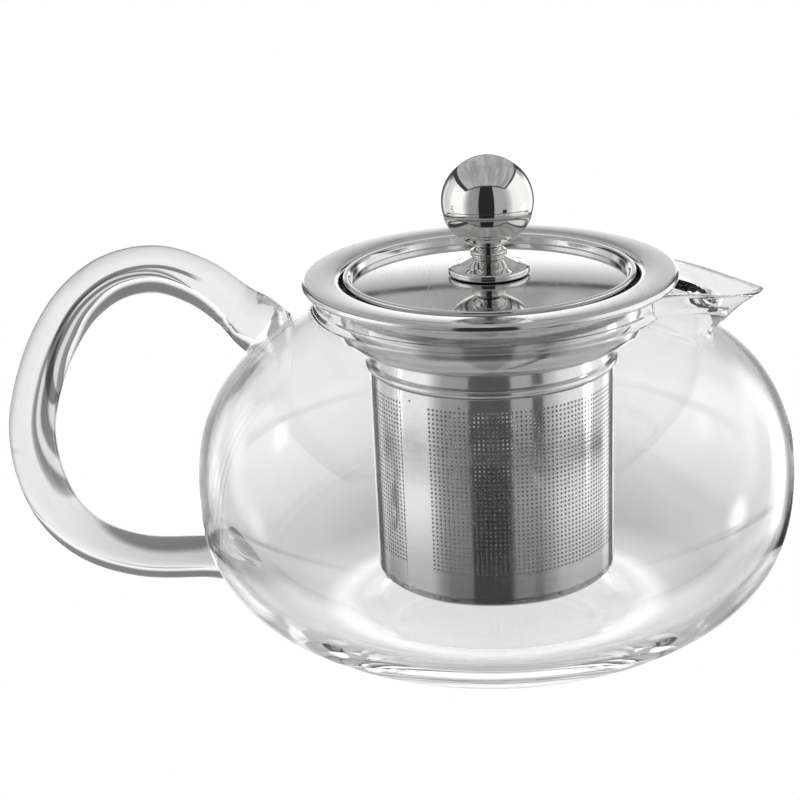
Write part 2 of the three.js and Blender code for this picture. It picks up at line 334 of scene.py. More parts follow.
class Graph:
    """Short calls for adding and wiring the nodes of one tree."""

    def __init__(self, tree: Tree) -> None:
        """Work on a node tree."""
        self.tree = tree

    def feed(self, socket: Socket, value: Value) -> None:
        """Link a socket to another socket, or set its value.

        Args:
            socket: The input that is fed.
            value: A socket to link, or a plain value.
        """
        if isinstance(value, Socket):
            self.tree.links.new(value, socket)
        else:
            socket.default_value = value

    def node(
        self, kind: str, feeds: dict[Union[str, int], Value] | None = None, **settings: object
    ) -> bpy.types.Node:
        """Add a node.

        Args:
            kind: Type name of the node.
            feeds: Value or link of inputs, by name or number.
            settings: Properties of the node.

        Returns:
            The new node.
        """
        made = self.tree.nodes.new(kind)
        for key, value in settings.items():
            setattr(made, key, value)
        for key, value in (feeds or {}).items():
            self.feed(made.inputs[key], value)
        return made

    def math(self, operation: str, a: Value, b: Value = 0.0, c: Value = 0.0) -> Socket:
        """Result of a math node on up to three values."""
        return self.node("ShaderNodeMath", {0: a, 1: b, 2: c}, operation=operation).outputs[0]

    def times(self, a: Value, b: Value) -> Socket:
        """Product of two values."""
        return self.math("MULTIPLY", a, b)

    def plus(self, a: Value, b: Value) -> Socket:
        """Sum of two values."""
        return self.math("ADD", a, b)

    def minus(self, a: Value, b: Value) -> Socket:
        """First value less the second."""
        return self.math("SUBTRACT", a, b)

    def over(self, a: Value, b: Value) -> Socket:
        """First value divided by the second."""
        return self.math("DIVIDE", a, b)

    def length(self, x: Value, y: Value) -> Socket:
        """Length of a flat vector."""
        return self.math("SQRT", self.plus(self.times(x, x), self.times(y, y)))

    def blend(self, share: Value, a: Value, b: Value) -> Socket:
        """Value that goes from a to b as share goes from 0 to 1."""
        return self.node("ShaderNodeMix", {0: share, 2: a, 3: b}, data_type="FLOAT").outputs[0]

    def tint(self, share: Value, a: Value, b: Value) -> Socket:
        """Colour that goes from a to b as share goes from 0 to 1."""
        return self.node("ShaderNodeMix", {0: share, 6: a, 7: b}, data_type="RGBA").outputs[2]

    def rise(
        self, value: Value, start: float, end: float, low: float = 0.0, high: float = 1.0
    ) -> Socket:
        """Smooth climb from low to high while value goes from start to end."""
        feeds = {"Value": value, "From Min": start, "From Max": end, "To Min": low, "To Max": high}
        return self.node("ShaderNodeMapRange", feeds, interpolation_type="SMOOTHSTEP").outputs[0]

    def within(self, value: Value, low: float, high: float, edge: float) -> Socket:
        """1 while value is between low and high, with soft edges."""
        up = self.rise(value, low - edge / 2, low + edge / 2)
        return self.times(up, self.rise(value, high - edge / 2, high + edge / 2, 1.0, 0.0))

    def noise(self, vector: Value, scale: Value, detail: float = 2.0, warp: float = 0.0) -> Socket:
        """Soft noise between 0 and 1."""
        feeds = {"Vector": vector, "Scale": scale, "Detail": detail, "Distortion": warp}
        return self.node("ShaderNodeTexNoise", feeds).outputs[0]

    def stretch(self, vector: Value, scale: tuple, turn_degrees: float = 0.0) -> Socket:
        """Coordinates scaled along each axis, and turned about Z.

        Args:
            vector: The coordinates.
            scale: Stretch along each axis.
            turn_degrees: Turn about Z in degrees.

        Returns:
            The changed coordinates.
        """
        turned = (0.0, 0.0, math.radians(turn_degrees))
        feeds = {"Vector": vector, "Rotation": turned, "Scale": scale}
        return self.node("ShaderNodeMapping", feeds).outputs[0]

    def split(self, vector: Value) -> Sequence[Socket]:
        """The three parts of a vector."""
        return self.node("ShaderNodeSeparateXYZ", {0: vector}).outputs

    def join(self, x: Value, y: Value, z: Value) -> Socket:
        """A vector from three parts."""
        return self.node("ShaderNodeCombineXYZ", {0: x, 1: y, 2: z}).outputs[0]

    def curve(self, value: Value, stops: Sequence[Point], low: float, high: float) -> Socket:
        """Value read from a line through stops.

        Args:
            value: Where the line is read.
            stops: Place and value of each stop, in rising order of place.
            low: Place of the line's start.
            high: Place of the line's end.

        Returns:
            The line's value, which may be above 1.
        """
        share = self.over(self.minus(value, low), high - low)
        ramp = self.node("ShaderNodeValToRGB", {0: share})
        stock = ramp.color_ramp.elements
        while len(stock) < len(stops):
            stock.new(0.5)
        for element, (place, level) in zip(stock, stops):
            element.position = (place - low) / (high - low)
        for element, (place, level) in zip(stock, stops):
            element.color = (level, level, level, 1.0)
        return ramp.outputs[0]

    def group(self, tree: Tree, feeds: dict[str, Value]) -> bpy.types.Node:
        """Place a shader node group with its own values.

        Args:
            tree: The group's node tree.
            feeds: Value or link of each input, by name.

        Returns:
            The group's node.
        """
        made = self.tree.nodes.new("ShaderNodeGroup")
        made.node_tree = tree
        for key, value in feeds.items():
            self.feed(made.inputs[key], value)
        return made


def shader_group(
    name: str, inputs: dict[str, tuple[str, Value]], outputs: dict[str, str], fill: Callable
) -> Tree:
    """Build a shader node group.

    Args:
        name: Name of the group.
        inputs: Socket type and starting value of each input.
        outputs: Socket type of each output.
        fill: Called with the graph, the group's inputs and its output node.

    Returns:
        The group's node tree.
    """
    tree = bpy.data.node_groups.new(name, "ShaderNodeTree")
    for key, (kind, value) in inputs.items():
        socket = tree.interface.new_socket(key, in_out="INPUT", socket_type=kind)
        if value is not None:
            socket.default_value = value
    for key, kind in outputs.items():
        tree.interface.new_socket(key, in_out="OUTPUT", socket_type=kind)
    graph = Graph(tree)
    start, end = graph.node("NodeGroupInput"), graph.node("NodeGroupOutput")
    fill(graph, start.outputs, end.inputs)
    return tree


VALUE = "NodeSocketFloat"
VECTOR = "NodeSocketVector"


class Effects:
    """Node groups that several finishes share."""

    def __init__(self) -> None:
        """Build the groups once."""
        self.turning = shader_group(
            "turning_lines",
            {"Vector": (VECTOR, None), "Fineness": (VALUE, 2600.0), "Break Up": (VALUE, 0.35)},
            {"Lines": VALUE},
            self._turning,
        )
        self.scratches = shader_group(
            "fine_scratches",
            {"Vector": (VECTOR, None), "Scale": (VALUE, 260.0), "Share": (VALUE, 0.35)},
            {"Scratches": VALUE},
            self._scratches,
        )
        self.smudges = shader_group(
            "handling_smudges",
            {"Vector": (VECTOR, None), "Scale": (VALUE, 38.0), "Share": (VALUE, 0.5)},
            {"Smudges": VALUE},
            self._smudges,
        )
        self.waves = shader_group(
            "drawn_glass_waves",
            {"Vector": (VECTOR, None), "Scale": (VALUE, 22.0)},
            {"Waves": VALUE},
            self._waves,
        )

    @staticmethod
    def _turning(g: Graph, start: Sequence, end: Sequence) -> None:
        """Fine rings about the Z axis, as a lathe or a spinning polisher leaves them.

        Args:
            g: Graph that the nodes join.
            start: Inputs of the group.
            end: Inputs of the group's output node.
        """
        x, y, z = g.split(start["Vector"])
        radius = g.length(x, y)
        place = g.join(radius, g.times(z, 0.6), 0.0)
        rings = g.noise(place, start["Fineness"], 3.0)
        patchy = g.noise(start["Vector"], 90.0, 2.0)
        faded = g.times(g.minus(rings, 0.5), g.blend(start["Break Up"], 1.0, patchy))
        g.feed(end["Lines"], g.plus(faded, 0.5))

    @staticmethod
    def _scratches(g: Graph, start: Sequence, end: Sequence) -> None:
        """Hair-thin scratches in two crossing directions.

        Args:
            g: Graph that the nodes join.
            start: Inputs of the group.
            end: Inputs of the group's output node.
        """
        found = None
        for degrees in (24.0, -61.0):
            line = g.stretch(start["Vector"], (1.0, 0.045, 0.32), degrees)
            web = g.noise(line, start["Scale"], 4.0)
            thin = g.rise(g.math("ABSOLUTE", g.minus(web, 0.5)), 0.0, 0.012, 1.0, 0.0)
            found = thin if found is None else g.math("MAXIMUM", found, thin)
        patches = g.rise(g.noise(start["Vector"], 55.0, 1.0), 0.42, 0.62)
        g.feed(end["Scratches"], g.times(g.times(found, patches), start["Share"]))

    @staticmethod
    def _smudges(g: Graph, start: Sequence, end: Sequence) -> None:
        """Soft patches where fingers and water have touched."""
        cloud = g.noise(start["Vector"], start["Scale"], 4.0, 0.8)
        g.feed(end["Smudges"], g.times(g.rise(cloud, 0.42, 0.72), start["Share"]))

    @staticmethod
    def _waves(g: Graph, start: Sequence, end: Sequence) -> None:
        """Long, low waves of a wall blown and drawn by hand."""
        drawn = g.stretch(start["Vector"], (1.0, 1.0, 2.2))
        g.feed(end["Waves"], g.noise(drawn, start["Scale"], 1.0))


@dataclass(frozen=True)
class SteelFinish:
    """Polished or satin stainless steel."""

    name: str
    grey: float
    roughness: float
    smudge_roughness: float
    line_depth: float
    line_fineness: float
    scratch_share: float
    anisotropy: float = 0.0
    seam_degrees: float | None = None
    seam_half_width: float = 0.15
    seam_shade: float = 0.35
    scratch_shade: float = 0.22
    scratch_roughness: float = 0.18
    scratch_depth: float = 0.5
    bump_strength: float = 0.25
    bump_distance: float = 0.00002

    def build(self, effects: Effects) -> Material:
        """Make the material.

        Args:
            effects: The shared node groups.

        Returns:
            The steel material.
        """
        material = bpy.data.materials.new(self.name)
        material.use_nodes = True
        g = Graph(material.node_tree)
        place = g.node("ShaderNodeTexCoord").outputs["Object"]
        lines = g.group(effects.turning, {"Vector": place, "Fineness": self.line_fineness}).outputs[0]
        marks = g.group(effects.scratches, {"Vector": place, "Share": self.scratch_share}).outputs[0]
        smudge = g.group(effects.smudges, {"Vector": place, "Share": self.smudge_roughness}).outputs[0]
        level = g.minus(lines, 0.5)
        rough = g.plus(g.math("MULTIPLY_ADD", level, self.line_depth * 0.8, self.roughness), smudge)
        rough = g.plus(rough, g.times(marks, self.scratch_roughness))
        shade = g.math("MULTIPLY_ADD", level, self.line_depth, 1.0)
        shade = g.minus(shade, g.times(marks, self.scratch_shade))
        height = g.minus(g.times(level, self.line_depth), g.times(marks, self.scratch_depth))
        if self.seam_degrees is not None:
            seam = self._seam(g, place)
            shade = g.minus(shade, g.times(seam, self.seam_shade))
            height = g.minus(height, seam)
        steel = (self.grey, self.grey, self.grey * 0.99, 1.0)
        feeds = {0: 1.0, 6: steel, 7: shade}
        colour = g.node("ShaderNodeMix", feeds, data_type="RGBA", blend_type="MULTIPLY")
        feeds = {"Strength": self.bump_strength, "Distance": self.bump_distance, "Height": height}
        bump = g.node("ShaderNodeBump", feeds).outputs[0]
        shader = material.node_tree.nodes["Principled BSDF"]
        shader.inputs["Metallic"].default_value = 1.0
        shader.inputs["Anisotropic"].default_value = self.anisotropy
        g.feed(shader.inputs["Base Color"], colour.outputs[2])
        g.feed(shader.inputs["Roughness"], rough)
        g.feed(shader.inputs["Normal"], bump)
        return material

    def _seam(self, g: Graph, place: Socket) -> Socket:
        """Thin line of the rolled wall's lapped edge.

        Args:
            g: Graph that the nodes join.
            place: Object coordinates.

        Returns:
            1 on the seam, 0 elsewhere.
        """
        x, y, _ = g.split(place)
        around = g.math("DEGREES", g.math("ARCTAN2", x, g.times(y, -1.0)))
        half = self.seam_half_width
        return g.within(around, self.seam_degrees - half, self.seam_degrees + half, 2 * half)


@dataclass(frozen=True)
class GlassFinish:
    """Clear blown borosilicate glass, with painted shade that greys its grazing edges."""

    name: str = "clear_blown_glass"
    tint: tuple[float, float, float] = (0.985, 0.99, 0.988)
    index: float = 1.47
    smudge_roughness: float = 0.02
    wave_height: float = 0.00035
    edge_start: float = 0.48
    edge_end: float = 0.82
    # Grey of the painted shade along the glass's grazing edges.
    painted_edge_shade: float = 0.82

    def build(self, effects: Effects) -> Material:
        """Make the material.

        Args:
            effects: The shared node groups.

        Returns:
            The glass material.
        """
        material = bpy.data.materials.new(self.name)
        material.use_nodes = True
        g = Graph(material.node_tree)
        place = g.node("ShaderNodeTexCoord").outputs["Object"]
        waves = g.group(effects.waves, {"Vector": place}).outputs[0]
        smudge = g.group(effects.smudges, {"Vector": place, "Share": self.smudge_roughness}).outputs[0]
        marks = g.group(effects.scratches, {"Vector": place, "Scale": 150.0, "Share": 0.03}).outputs[0]
        clear, film = (*self.tint, 1.0), (*(part * 0.985 for part in self.tint), 1.0)
        feeds = {"Strength": 0.5, "Distance": self.wave_height, "Height": waves}
        bump = g.node("ShaderNodeBump", feeds).outputs[0]
        shader = material.node_tree.nodes["Principled BSDF"]
        shader.inputs["Transmission Weight"].default_value = 1.0
        shader.inputs["IOR"].default_value = self.index
        # Painted shade: the glass turns grey where its surface is seen at a grazing angle, drawing a dark
        # outline along each silhouette.
        facing = g.node("ShaderNodeLayerWeight", {"Blend": 0.5}).outputs["Facing"]
        edge = (*(part * self.painted_edge_shade for part in self.tint), 1.0)
        filmed = g.tint(g.rise(smudge, 0.0, self.smudge_roughness), clear, film)
        painted_shade_share = g.rise(facing, self.edge_start, self.edge_end)
        g.feed(shader.inputs["Base Color"], g.tint(painted_shade_share, filmed, edge))
        g.feed(shader.inputs["Roughness"], g.plus(smudge, marks))
        g.feed(shader.inputs["Normal"], bump)
        return material


class Finishes:
    """All the materials of the teapot, built once."""

    def __init__(self) -> None:
        """Build the shared effects and every material."""
        effects = Effects()
        self.glass = GlassFinish().build(effects)
        # The handle rod gets a darker painted edge shade than the body.
        self.rod_glass = GlassFinish("drawn_rod_glass", painted_edge_shade=0.36, wave_height=0.00012).build(effects)
        self.collar = SteelFinish("satin_rim_steel", 0.70, 0.1, 0.05, 0.10, 2400, 0.3, 0.25).build(effects)
        self.basket = SteelFinish(
            "rolled_sheet_steel", 0.66, 0.1, 0.06, 0.08, 1500, 0.4, seam_degrees=-46.6
        ).build(effects)
        self.floor = SteelFinish("pressed_floor_steel", 0.62, 0.18, 0.06, 0.12, 1800, 0.5).build(effects)
        self.lid = SteelFinish("spun_lid_steel", 0.68, 0.055, 0.04, 0.07, 2600, 0.35, 0.3).build(effects)
        self.ball = SteelFinish("polished_ball_steel", 0.72, 0.03, 0.03, 0.02, 2200, 0.25).build(effects)
        self.foot = SteelFinish("turned_foot_steel", 0.64, 0.04, 0.03, 0.05, 3200, 0.2).build(effects)
        self.screw = SteelFinish("plain_screw_steel", 0.56, 0.24, 0.08, 0.1, 3000, 0.5).build(effects)


# --------------------------------------------------------------------------- geometry node trees


class ShapeTree:
    """A Geometry Nodes tree with named inputs, which ends in one material."""

    def __init__(self, name: str, inputs: dict[str, str]) -> None:
        """Start the tree.

        Args:
            name: Name of the tree.
            inputs: Socket type of each input, by name.
        """
        self.tree = bpy.data.node_groups.new(name, "GeometryNodeTree")
        interface = self.tree.interface
        interface.new_socket("Geometry", in_out="INPUT", socket_type="NodeSocketGeometry")
        self.keys = {
            key: interface.new_socket(key, in_out="INPUT", socket_type=kind).identifier
            for key, kind in inputs.items()
        }
        self.keys["Finish"] = interface.new_socket(
            "Finish", in_out="INPUT", socket_type="NodeSocketMaterial"
        ).identifier
        interface.new_socket("Geometry", in_out="OUTPUT", socket_type="NodeSocketGeometry")
        self.graph = Graph(self.tree)
        self.start = self.graph.node("NodeGroupInput").outputs

    def close(self, geometry: Socket) -> None:
        """End the tree with plain geometry in the finish.

        Args:
            geometry: The shape to end with.
        """
        plain = self.graph.node("GeometryNodeRealizeInstances", {0: geometry}).outputs[0]
        feeds = {"Geometry": plain, "Material": self.start["Finish"]}
        dressed = self.graph.node("GeometryNodeSetMaterial", feeds)
        self.graph.node("NodeGroupOutput", {0: dressed.outputs[0]})

    def run(self, piece: Piece, values: dict[str, object]) -> Piece:
        """Shape a piece with the tree and keep the result as its mesh.

        Args:
            piece: The object whose mesh enters the tree.
            values: Value of each named input.

        Returns:
            The same object with its final mesh.
        """
        step = piece.modifiers.new("shape", "NODES")
        step.node_group = self.tree
        for key, value in values.items():
            step[self.keys[key]] = value
        return settle(piece)


FLOAT_IN = "NodeSocketFloat"
INT_IN = "NodeSocketInt"
OBJECT_IN = "NodeSocketObject"
DRILL_SIDES = 8


def rod_tree() -> ShapeTree:
    """Tree that draws a round rod along the piece's line of edges.

    Returns:
        The tree, with the number of sides as its input.
    """
    tree = ShapeTree("rod_along_path", {"Sides": INT_IN})
    g = tree.graph
    line = g.node("GeometryNodeMeshToCurve", {"Mesh": tree.start["Geometry"]}).outputs[0]
    ring = g.node("GeometryNodeCurvePrimitiveCircle", {"Resolution": tree.start["Sides"], "Radius": 1.0})
    named = g.node("GeometryNodeInputNamedAttribute", {"Name": "rod_radius"}, data_type="FLOAT")
    thickness = named.outputs[0]
    rod = g.node(
        "GeometryNodeCurveToMesh",
        {"Curve": line, "Profile Curve": ring.outputs[0], "Scale": thickness, "Fill Caps": True},
    )
    tree.close(rod.outputs[0])
    return tree


def perforated_wall_tree(pilots: int) -> ShapeTree:
    """Tree that lays a field of holed and plain cells round a cylinder and welds it to its bands.

    Args:
        pilots: Number of single holes outside the field.

    Returns:
        The tree, with one index input for each single hole.
    """
    inputs = {"Holed Cell": OBJECT_IN, "Plain Cell": OBJECT_IN, "Columns": INT_IN, "Rows": INT_IN}
    inputs |= {"Column Pitch": FLOAT_IN, "Row Pitch": FLOAT_IN, "Radius": FLOAT_IN, "Middle Height": FLOAT_IN}
    inputs |= {"First Row": INT_IN, "Last Row": INT_IN, "Blank From": INT_IN, "Blank To": INT_IN}
    inputs |= {f"Pilot {i + 1}": INT_IN for i in range(pilots)}
    inputs |= {"Weld Distance": FLOAT_IN}
    tree = ShapeTree("perforated_wall", inputs)
    g, start = tree.graph, tree.start

    def span(pitch: str, count: str) -> Socket:
        """Distance from the first cell's middle to the last one's."""
        return g.times(start[pitch], g.minus(start[count], 1.0))

    grid = g.node(
        "GeometryNodeMeshGrid",
        {
            "Size X": span("Column Pitch", "Columns"),
            "Size Y": span("Row Pitch", "Rows"),
            "Vertices X": start["Columns"],
            "Vertices Y": start["Rows"],
        },
    ).outputs[0]
    index = g.node("GeometryNodeInputIndex").outputs[0]
    column = g.math("FLOOR", g.over(g.plus(index, 0.5), start["Rows"]))
    row = g.minus(index, g.times(column, start["Rows"]))

    def between(value: Socket, low: str, high: str) -> Socket:
        """1 where a count is from low to high, ends included.

        Args:
            value: The count.
            low: Name of the first count.
            high: Name of the last count.

        Returns:
            The mask.
        """
        above = g.math("GREATER_THAN", g.plus(value, 0.5), start[low])
        below = g.math("LESS_THAN", g.minus(value, 0.5), start[high])
        return g.times(above, below)

    blank = between(column, "Blank From", "Blank To")
    holed = g.times(between(row, "First Row", "Last Row"), g.minus(1.0, blank))
    for i in range(pilots):
        here = g.node("ShaderNodeMath", {0: index, 1: start[f"Pilot {i + 1}"], 2: 0.5}, operation="COMPARE")
        holed = g.math("MAXIMUM", holed, here.outputs[0])
    field = g.node("GeometryNodeJoinGeometry")
    for cell, chosen in (("Holed Cell", holed), ("Plain Cell", g.minus(1.0, holed))):
        shape = g.node("GeometryNodeObjectInfo", {"Object": start[cell]}).outputs["Geometry"]
        feeds = {"Points": grid, "Selection": chosen, "Instance": shape}
        laid = g.node("GeometryNodeInstanceOnPoints", feeds)
        g.feed(field.inputs[0], laid.outputs[0])
    flat = g.node("GeometryNodeRealizeInstances", {0: field.outputs[0]}).outputs[0]
    x, y, z = g.split(g.node("GeometryNodeInputPosition").outputs[0])
    angle = g.over(x, start["Radius"])
    radius = g.plus(start["Radius"], z)
    bent = g.join(
        g.times(radius, g.math("SINE", angle)),
        g.times(g.times(radius, g.math("COSINE", angle)), -1.0),
        g.plus(y, start["Middle Height"]),
    )
    rolled = g.node("GeometryNodeSetPosition", {"Geometry": flat, "Position": bent}).outputs[0]
    whole = g.node("GeometryNodeJoinGeometry")
    g.feed(whole.inputs[0], start["Geometry"])
    g.feed(whole.inputs[0], rolled)
    feeds = {"Geometry": whole.outputs[0], "Distance": start["Weld Distance"]}
    welded = g.node("GeometryNodeMergeByDistance", feeds)
    tree.close(welded.outputs[0])
    return tree


def perforated_disc_tree() -> ShapeTree:
    """Tree that drills a round field of holes through a disc.

    Returns:
        The tree, with inputs for the holes and their field.
    """
    inputs = {"Count": INT_IN, "Pitch": FLOAT_IN, "Hole Radius": FLOAT_IN, "Field Radius": FLOAT_IN}
    inputs |= {"Height": FLOAT_IN, "Drill Length": FLOAT_IN}
    tree = ShapeTree("perforated_disc", inputs)
    g, start = tree.graph, tree.start
    span = g.times(start["Pitch"], g.minus(start["Count"], 1.0))
    grid = g.node(
        "GeometryNodeMeshGrid",
        {"Size X": span, "Size Y": span, "Vertices X": start["Count"], "Vertices Y": start["Count"]},
    ).outputs[0]
    x, y, _ = g.split(g.node("GeometryNodeInputPosition").outputs[0])
    reach = g.length(x, y)
    inside = g.math("LESS_THAN", reach, start["Field Radius"])
    feeds = {"Vertices": DRILL_SIDES, "Radius": start["Hole Radius"], "Depth": start["Drill Length"]}
    drill = g.node("GeometryNodeMeshCylinder", feeds).outputs[0]
    feeds = {"Points": grid, "Selection": inside, "Instance": drill}
    drills = g.node("GeometryNodeInstanceOnPoints", feeds)
    feeds = {"Geometry": drills.outputs[0], "Translation": g.join(0.0, 0.0, start["Height"])}
    lifted = g.node("GeometryNodeTransform", feeds)
    plain = g.node("GeometryNodeRealizeInstances", {0: lifted.outputs[0]}).outputs[0]
    drilled = g.node(
        "GeometryNodeMeshBoolean",
        {"Mesh 1": start["Geometry"], "Mesh 2": plain},
        operation="DIFFERENCE",
        solver="MANIFOLD",
    )
    tree.close(drilled.outputs[0])
    return tree


# --------------------------------------------------------------------------- pieces


def hand_over(
    piece: Piece, body: Body, finish: Material, nodes: Sequence[str]
) -> Piece:
    """Dress a finished piece and tie it to the frame.

    Args:
        piece: The finished piece.
        body: The body that it rides on.
        finish: Its material.
        nodes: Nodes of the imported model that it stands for.

    Returns:
        The same piece.
    """
    piece.data.materials.clear()
    piece.data.materials.append(finish)
    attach(piece, body.value)
    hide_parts(*nodes)
    return piece


@dataclass(frozen=True)
class SpoutSide:
    """Sizes of the pulled spout on one surface of the wall."""

    tip_radius: float
    root_radius: float
    root_z: float
    half_angle: float
    softness: float


@dataclass
class GlassVessel:
    """Blown glass body with its pulled spout, and its rod handle."""

    finishes: Finishes
    equator_z: float = 39.0
    base_drop: float = 41.0
    shoulder_rise: float = 49.5
    base_power: float = 2.6
    shoulder_power: float = 2.2
    foot_radius: float = 35.0
    wall: float = 2.4
    inner_drop: float = 36.8
    inner_rise: float = 47.1
    floor_z: float = 4.4
    inner_foot_radius: float = 30.0
    neck_radius: float = 41.0
    mouth_radius: float = 38.5
    neck_foot_z: float = 80.6
    outer_spout: SpoutSide = SpoutSide(63.9, 53.1, 74.5, 24.5, 2.4)
    inner_spout: SpoutSide = SpoutSide(61.3, 51.3, 72.8, 22.0, 3.2)
    spout_tip_z: float = 81.6
    spout_power: float = 1.1
    rim_dip: float = 1.6
    rod_radius: float = 5.65
    rod_foot_radius: float = 5.2
    flare: float = 1.3
    ridge: float = 0.07
    joint_gap: float = 0.06
    flare_run: Point = (16.0, 11.0)
    foot_flare_run: Point = (12.5, 6.5)
    taper: Point = (0.6, 0.25)
    ridge_run: Point = (8.0, 15.0)
    ridge_ease: float = 2.0
    ridge_pitch: float = 2.6
    rod_step: float = 0.8
    rod_sides: int = 48
    core_segments: int = 240
    core_steps: int = 60
    outer_steps: int = 34
    inner_steps: int = 32
    lip_steps: int = 12
    sharp_degrees: float = 30.0
    floor_ring: tuple[float, float, float] = (30.5, 2.6, 0.45)
    base_recess: tuple[float, float, float] = (28.0, 6.0, 0.5)

    def __post_init__(self) -> None:
        """Read the outer sizes from the frame."""
        body = Reach.of("glass_body")
        self.width = body.radius
        self.inner_width = body.radius - self.wall
        self.lip_z = body.high

    def dome(self, r: np.ndarray, width: float, height: float, power: float) -> np.ndarray:
        """Height of the rounded wall above or below its widest line at a radius."""
        return height * (1 - np.minimum(r / width, 1.0) ** power) ** (1 / power)

    def section(
        self,
        width: float,
        drop: float,
        rise: float,
        floor_z: float,
        floor_radius: float,
        neck: float,
        steps: int,
    ) -> list[Point]:
        """Half section of a wall surface.

        Args:
            width: Widest radius.
            drop: Depth of the rounded wall under its widest line.
            rise: Height of the rounded wall over its widest line.
            floor_z: Height of the flat floor.
            floor_radius: Radius of the flat floor.
            neck: Radius of the neck that the shoulder runs into.
            steps: Chords in each rounded half.

        Returns:
            The points from the axis at the base up to the neck's foot.
        """
        turns = np.arange(1, steps + 1) / steps * math.pi / 2
        low_r = mix(floor_radius + 1.5, width, np.sin(turns))
        low_z = np.maximum(self.equator_z - self.dome(low_r, width, drop, self.base_power), floor_z + 0.05)
        high_r = mix(width, neck + 3.4, 1 - np.cos(turns))
        high_z = self.equator_z + self.dome(high_r, width, rise, self.shoulder_power)
        flat = [(0.0, floor_z)] + [(float(r), floor_z) for r in np.linspace(4.0, floor_radius, 32)]
        return flat + list(zip(low_r, low_z)) + list(zip(high_r, high_z))

    def shape_base(self, outer: list[Point], inner: list[Point]) -> tuple[list[Point], list[Point]]:
        """Raise a soft ring on the inner floor and recess the base inside its foot.

        Args:
            outer: Outline of the outer surface.
            inner: Outline of the inner surface.

        Returns:
            The two outlines with the ring and the recess.
        """
        middle, width, rise = self.floor_ring
        start, slope, depth = self.base_recess

        def ring(r: float, z: float) -> float:
            """Height that the ring adds at a point of the inner surface."""
            return rise * math.exp(-(((r - middle) / width) ** 2)) if z < self.equator_z else 0.0

        def recess(r: float, z: float) -> float:
            """Height that the recess takes from a point of the base."""
            return depth * float(smoothstep((start + slope - r) / slope)) if z < depth else 0.0

        return [(r, z + recess(r, z)) for r, z in outer], [(r, z + ring(r, z)) for r, z in inner]

    def columns(self) -> np.ndarray:
        """Angles of the wall's columns in degrees, closest at the spout and the handle.

        Returns:
            One angle for each column, all the way round.
        """
        spout = np.linspace(0, 40, 80, endpoint=False)
        side = np.linspace(40, 158, 56, endpoint=False)
        half = np.concatenate([spout, side, np.linspace(158, 180, 23)])
        return np.concatenate([half, -half[-2:0:-1]])

    def surface(self, outline: Sequence[Point], is_outer: bool, angles: np.ndarray) -> np.ndarray:
        """Pull the spout out of a turned surface.

        Args:
            outline: Radius and height of each ring before the pull.
            is_outer: Whether this is the outer surface.
            angles: Degrees of each column.

        Returns:
            Points in rings by columns.
        """
        side = self.outer_spout if is_outer else self.inner_spout
        rim = self.neck_radius if is_outer else self.mouth_radius
        r, z = (np.array(part)[:, None] for part in zip(*outline))
        away = np.abs(angles)[None, :]
        spread = np.sqrt(away**2 + side.softness**2) - side.softness
        reach = np.maximum(0.0, 1 - spread / side.half_angle) ** self.spout_power
        lift = np.clip((z - side.root_z) / (self.lip_z - side.root_z), 0, 1)
        start = smoothstep(lift * 5)
        beak_r = mix(side.root_radius, side.tip_radius, lift) + (r - rim) * lift * 0.2
        beak_z = mix(side.root_z, self.spout_tip_z, lift) - (self.lip_z - z) * 0.2 * lift**6
        radius = mix(r, beak_r, reach * start)
        dip = self.rim_dip * smoothstep((36 - away) / 10) * lift**3
        level = mix(z - dip, beak_z, smoothstep((reach - 0.15) / 0.9) * start)
        turn_to = np.radians(angles)[None, :]
        level = np.broadcast_to(level, radius.shape)
        return np.stack([radius * np.cos(turn_to), radius * np.sin(turn_to), level], axis=-1)

    def build_body(self) -> Piece:
        """Outer wall, fire-polished lip and inner wall as one closed skin.

        Returns:
            The closed skin.
        """
        neck, mouth, foot = self.neck_radius, self.mouth_radius, self.neck_foot_z
        drop, rise = self.base_drop, self.shoulder_rise
        outer = self.section(self.width, drop, rise, 0.0, self.foot_radius, neck, self.outer_steps)
        drop, rise, floor = self.inner_drop, self.inner_rise, self.inner_foot_radius
        inner = self.section(self.inner_width, drop, rise, self.floor_z, floor, mouth, self.inner_steps)
        throat = [(neck + 1.2, foot + 0.2, 0.8), (neck + 0.2, foot + 1.6, 1.0), (neck, foot + 3.4, 0)]
        bore = [(mouth + 1.0, foot - 1.4, 0.8), (mouth, foot + 1.2, 1.0), (mouth, foot + 3.4, 0)]
        outer = outer[:-1] + rounded([(*outer[-2], 0), (*outer[-1], 1.2), *throat], False, 4)[1:]
        inner = inner[:-1] + rounded([(*inner[-2], 0), (*inner[-1], 1.2), *bore], False, 4)[1:]
        outer, inner = self.shape_base(outer, inner)
        lip_half = (neck - mouth) / 2
        lip = arc(((neck + mouth) / 2, self.lip_z - lip_half), lip_half, 0, 180, self.lip_steps)
        crest = self.lip_steps // 2 + 1
        angles = self.columns()
        outside = self.surface(outer + lip[:crest], True, angles)
        inside = self.surface(lip[crest:] + inner[::-1], False, angles)
        rings = np.concatenate([outside, inside])
        count, columns = rings.shape[:2]
        points = rings.reshape(-1, 3)
        index = np.arange(count * columns).reshape(count, columns)
        index[0], index[-1] = index[0, 0], index[-1, 0]
        faces = []
        for i in range(count - 1):
            for k in range(columns):
                m = (k + 1) % columns
                ring = (index[i, k], index[i, m], index[i + 1, m], index[i + 1, k])
                face = list(dict.fromkeys(int(p) for p in ring))
                if len(face) > 2:
                    faces.append(face)
        made = make_object("blown_vessel", points, faces)
        work = bmesh.new()
        work.from_mesh(made.data)
        loose = [v for v in work.verts if not v.link_faces]
        bmesh.ops.delete(work, geom=loose, context="VERTS")
        bmesh.ops.recalc_face_normals(work, faces=work.faces)
        work.to_mesh(made.data)
        work.free()
        return made

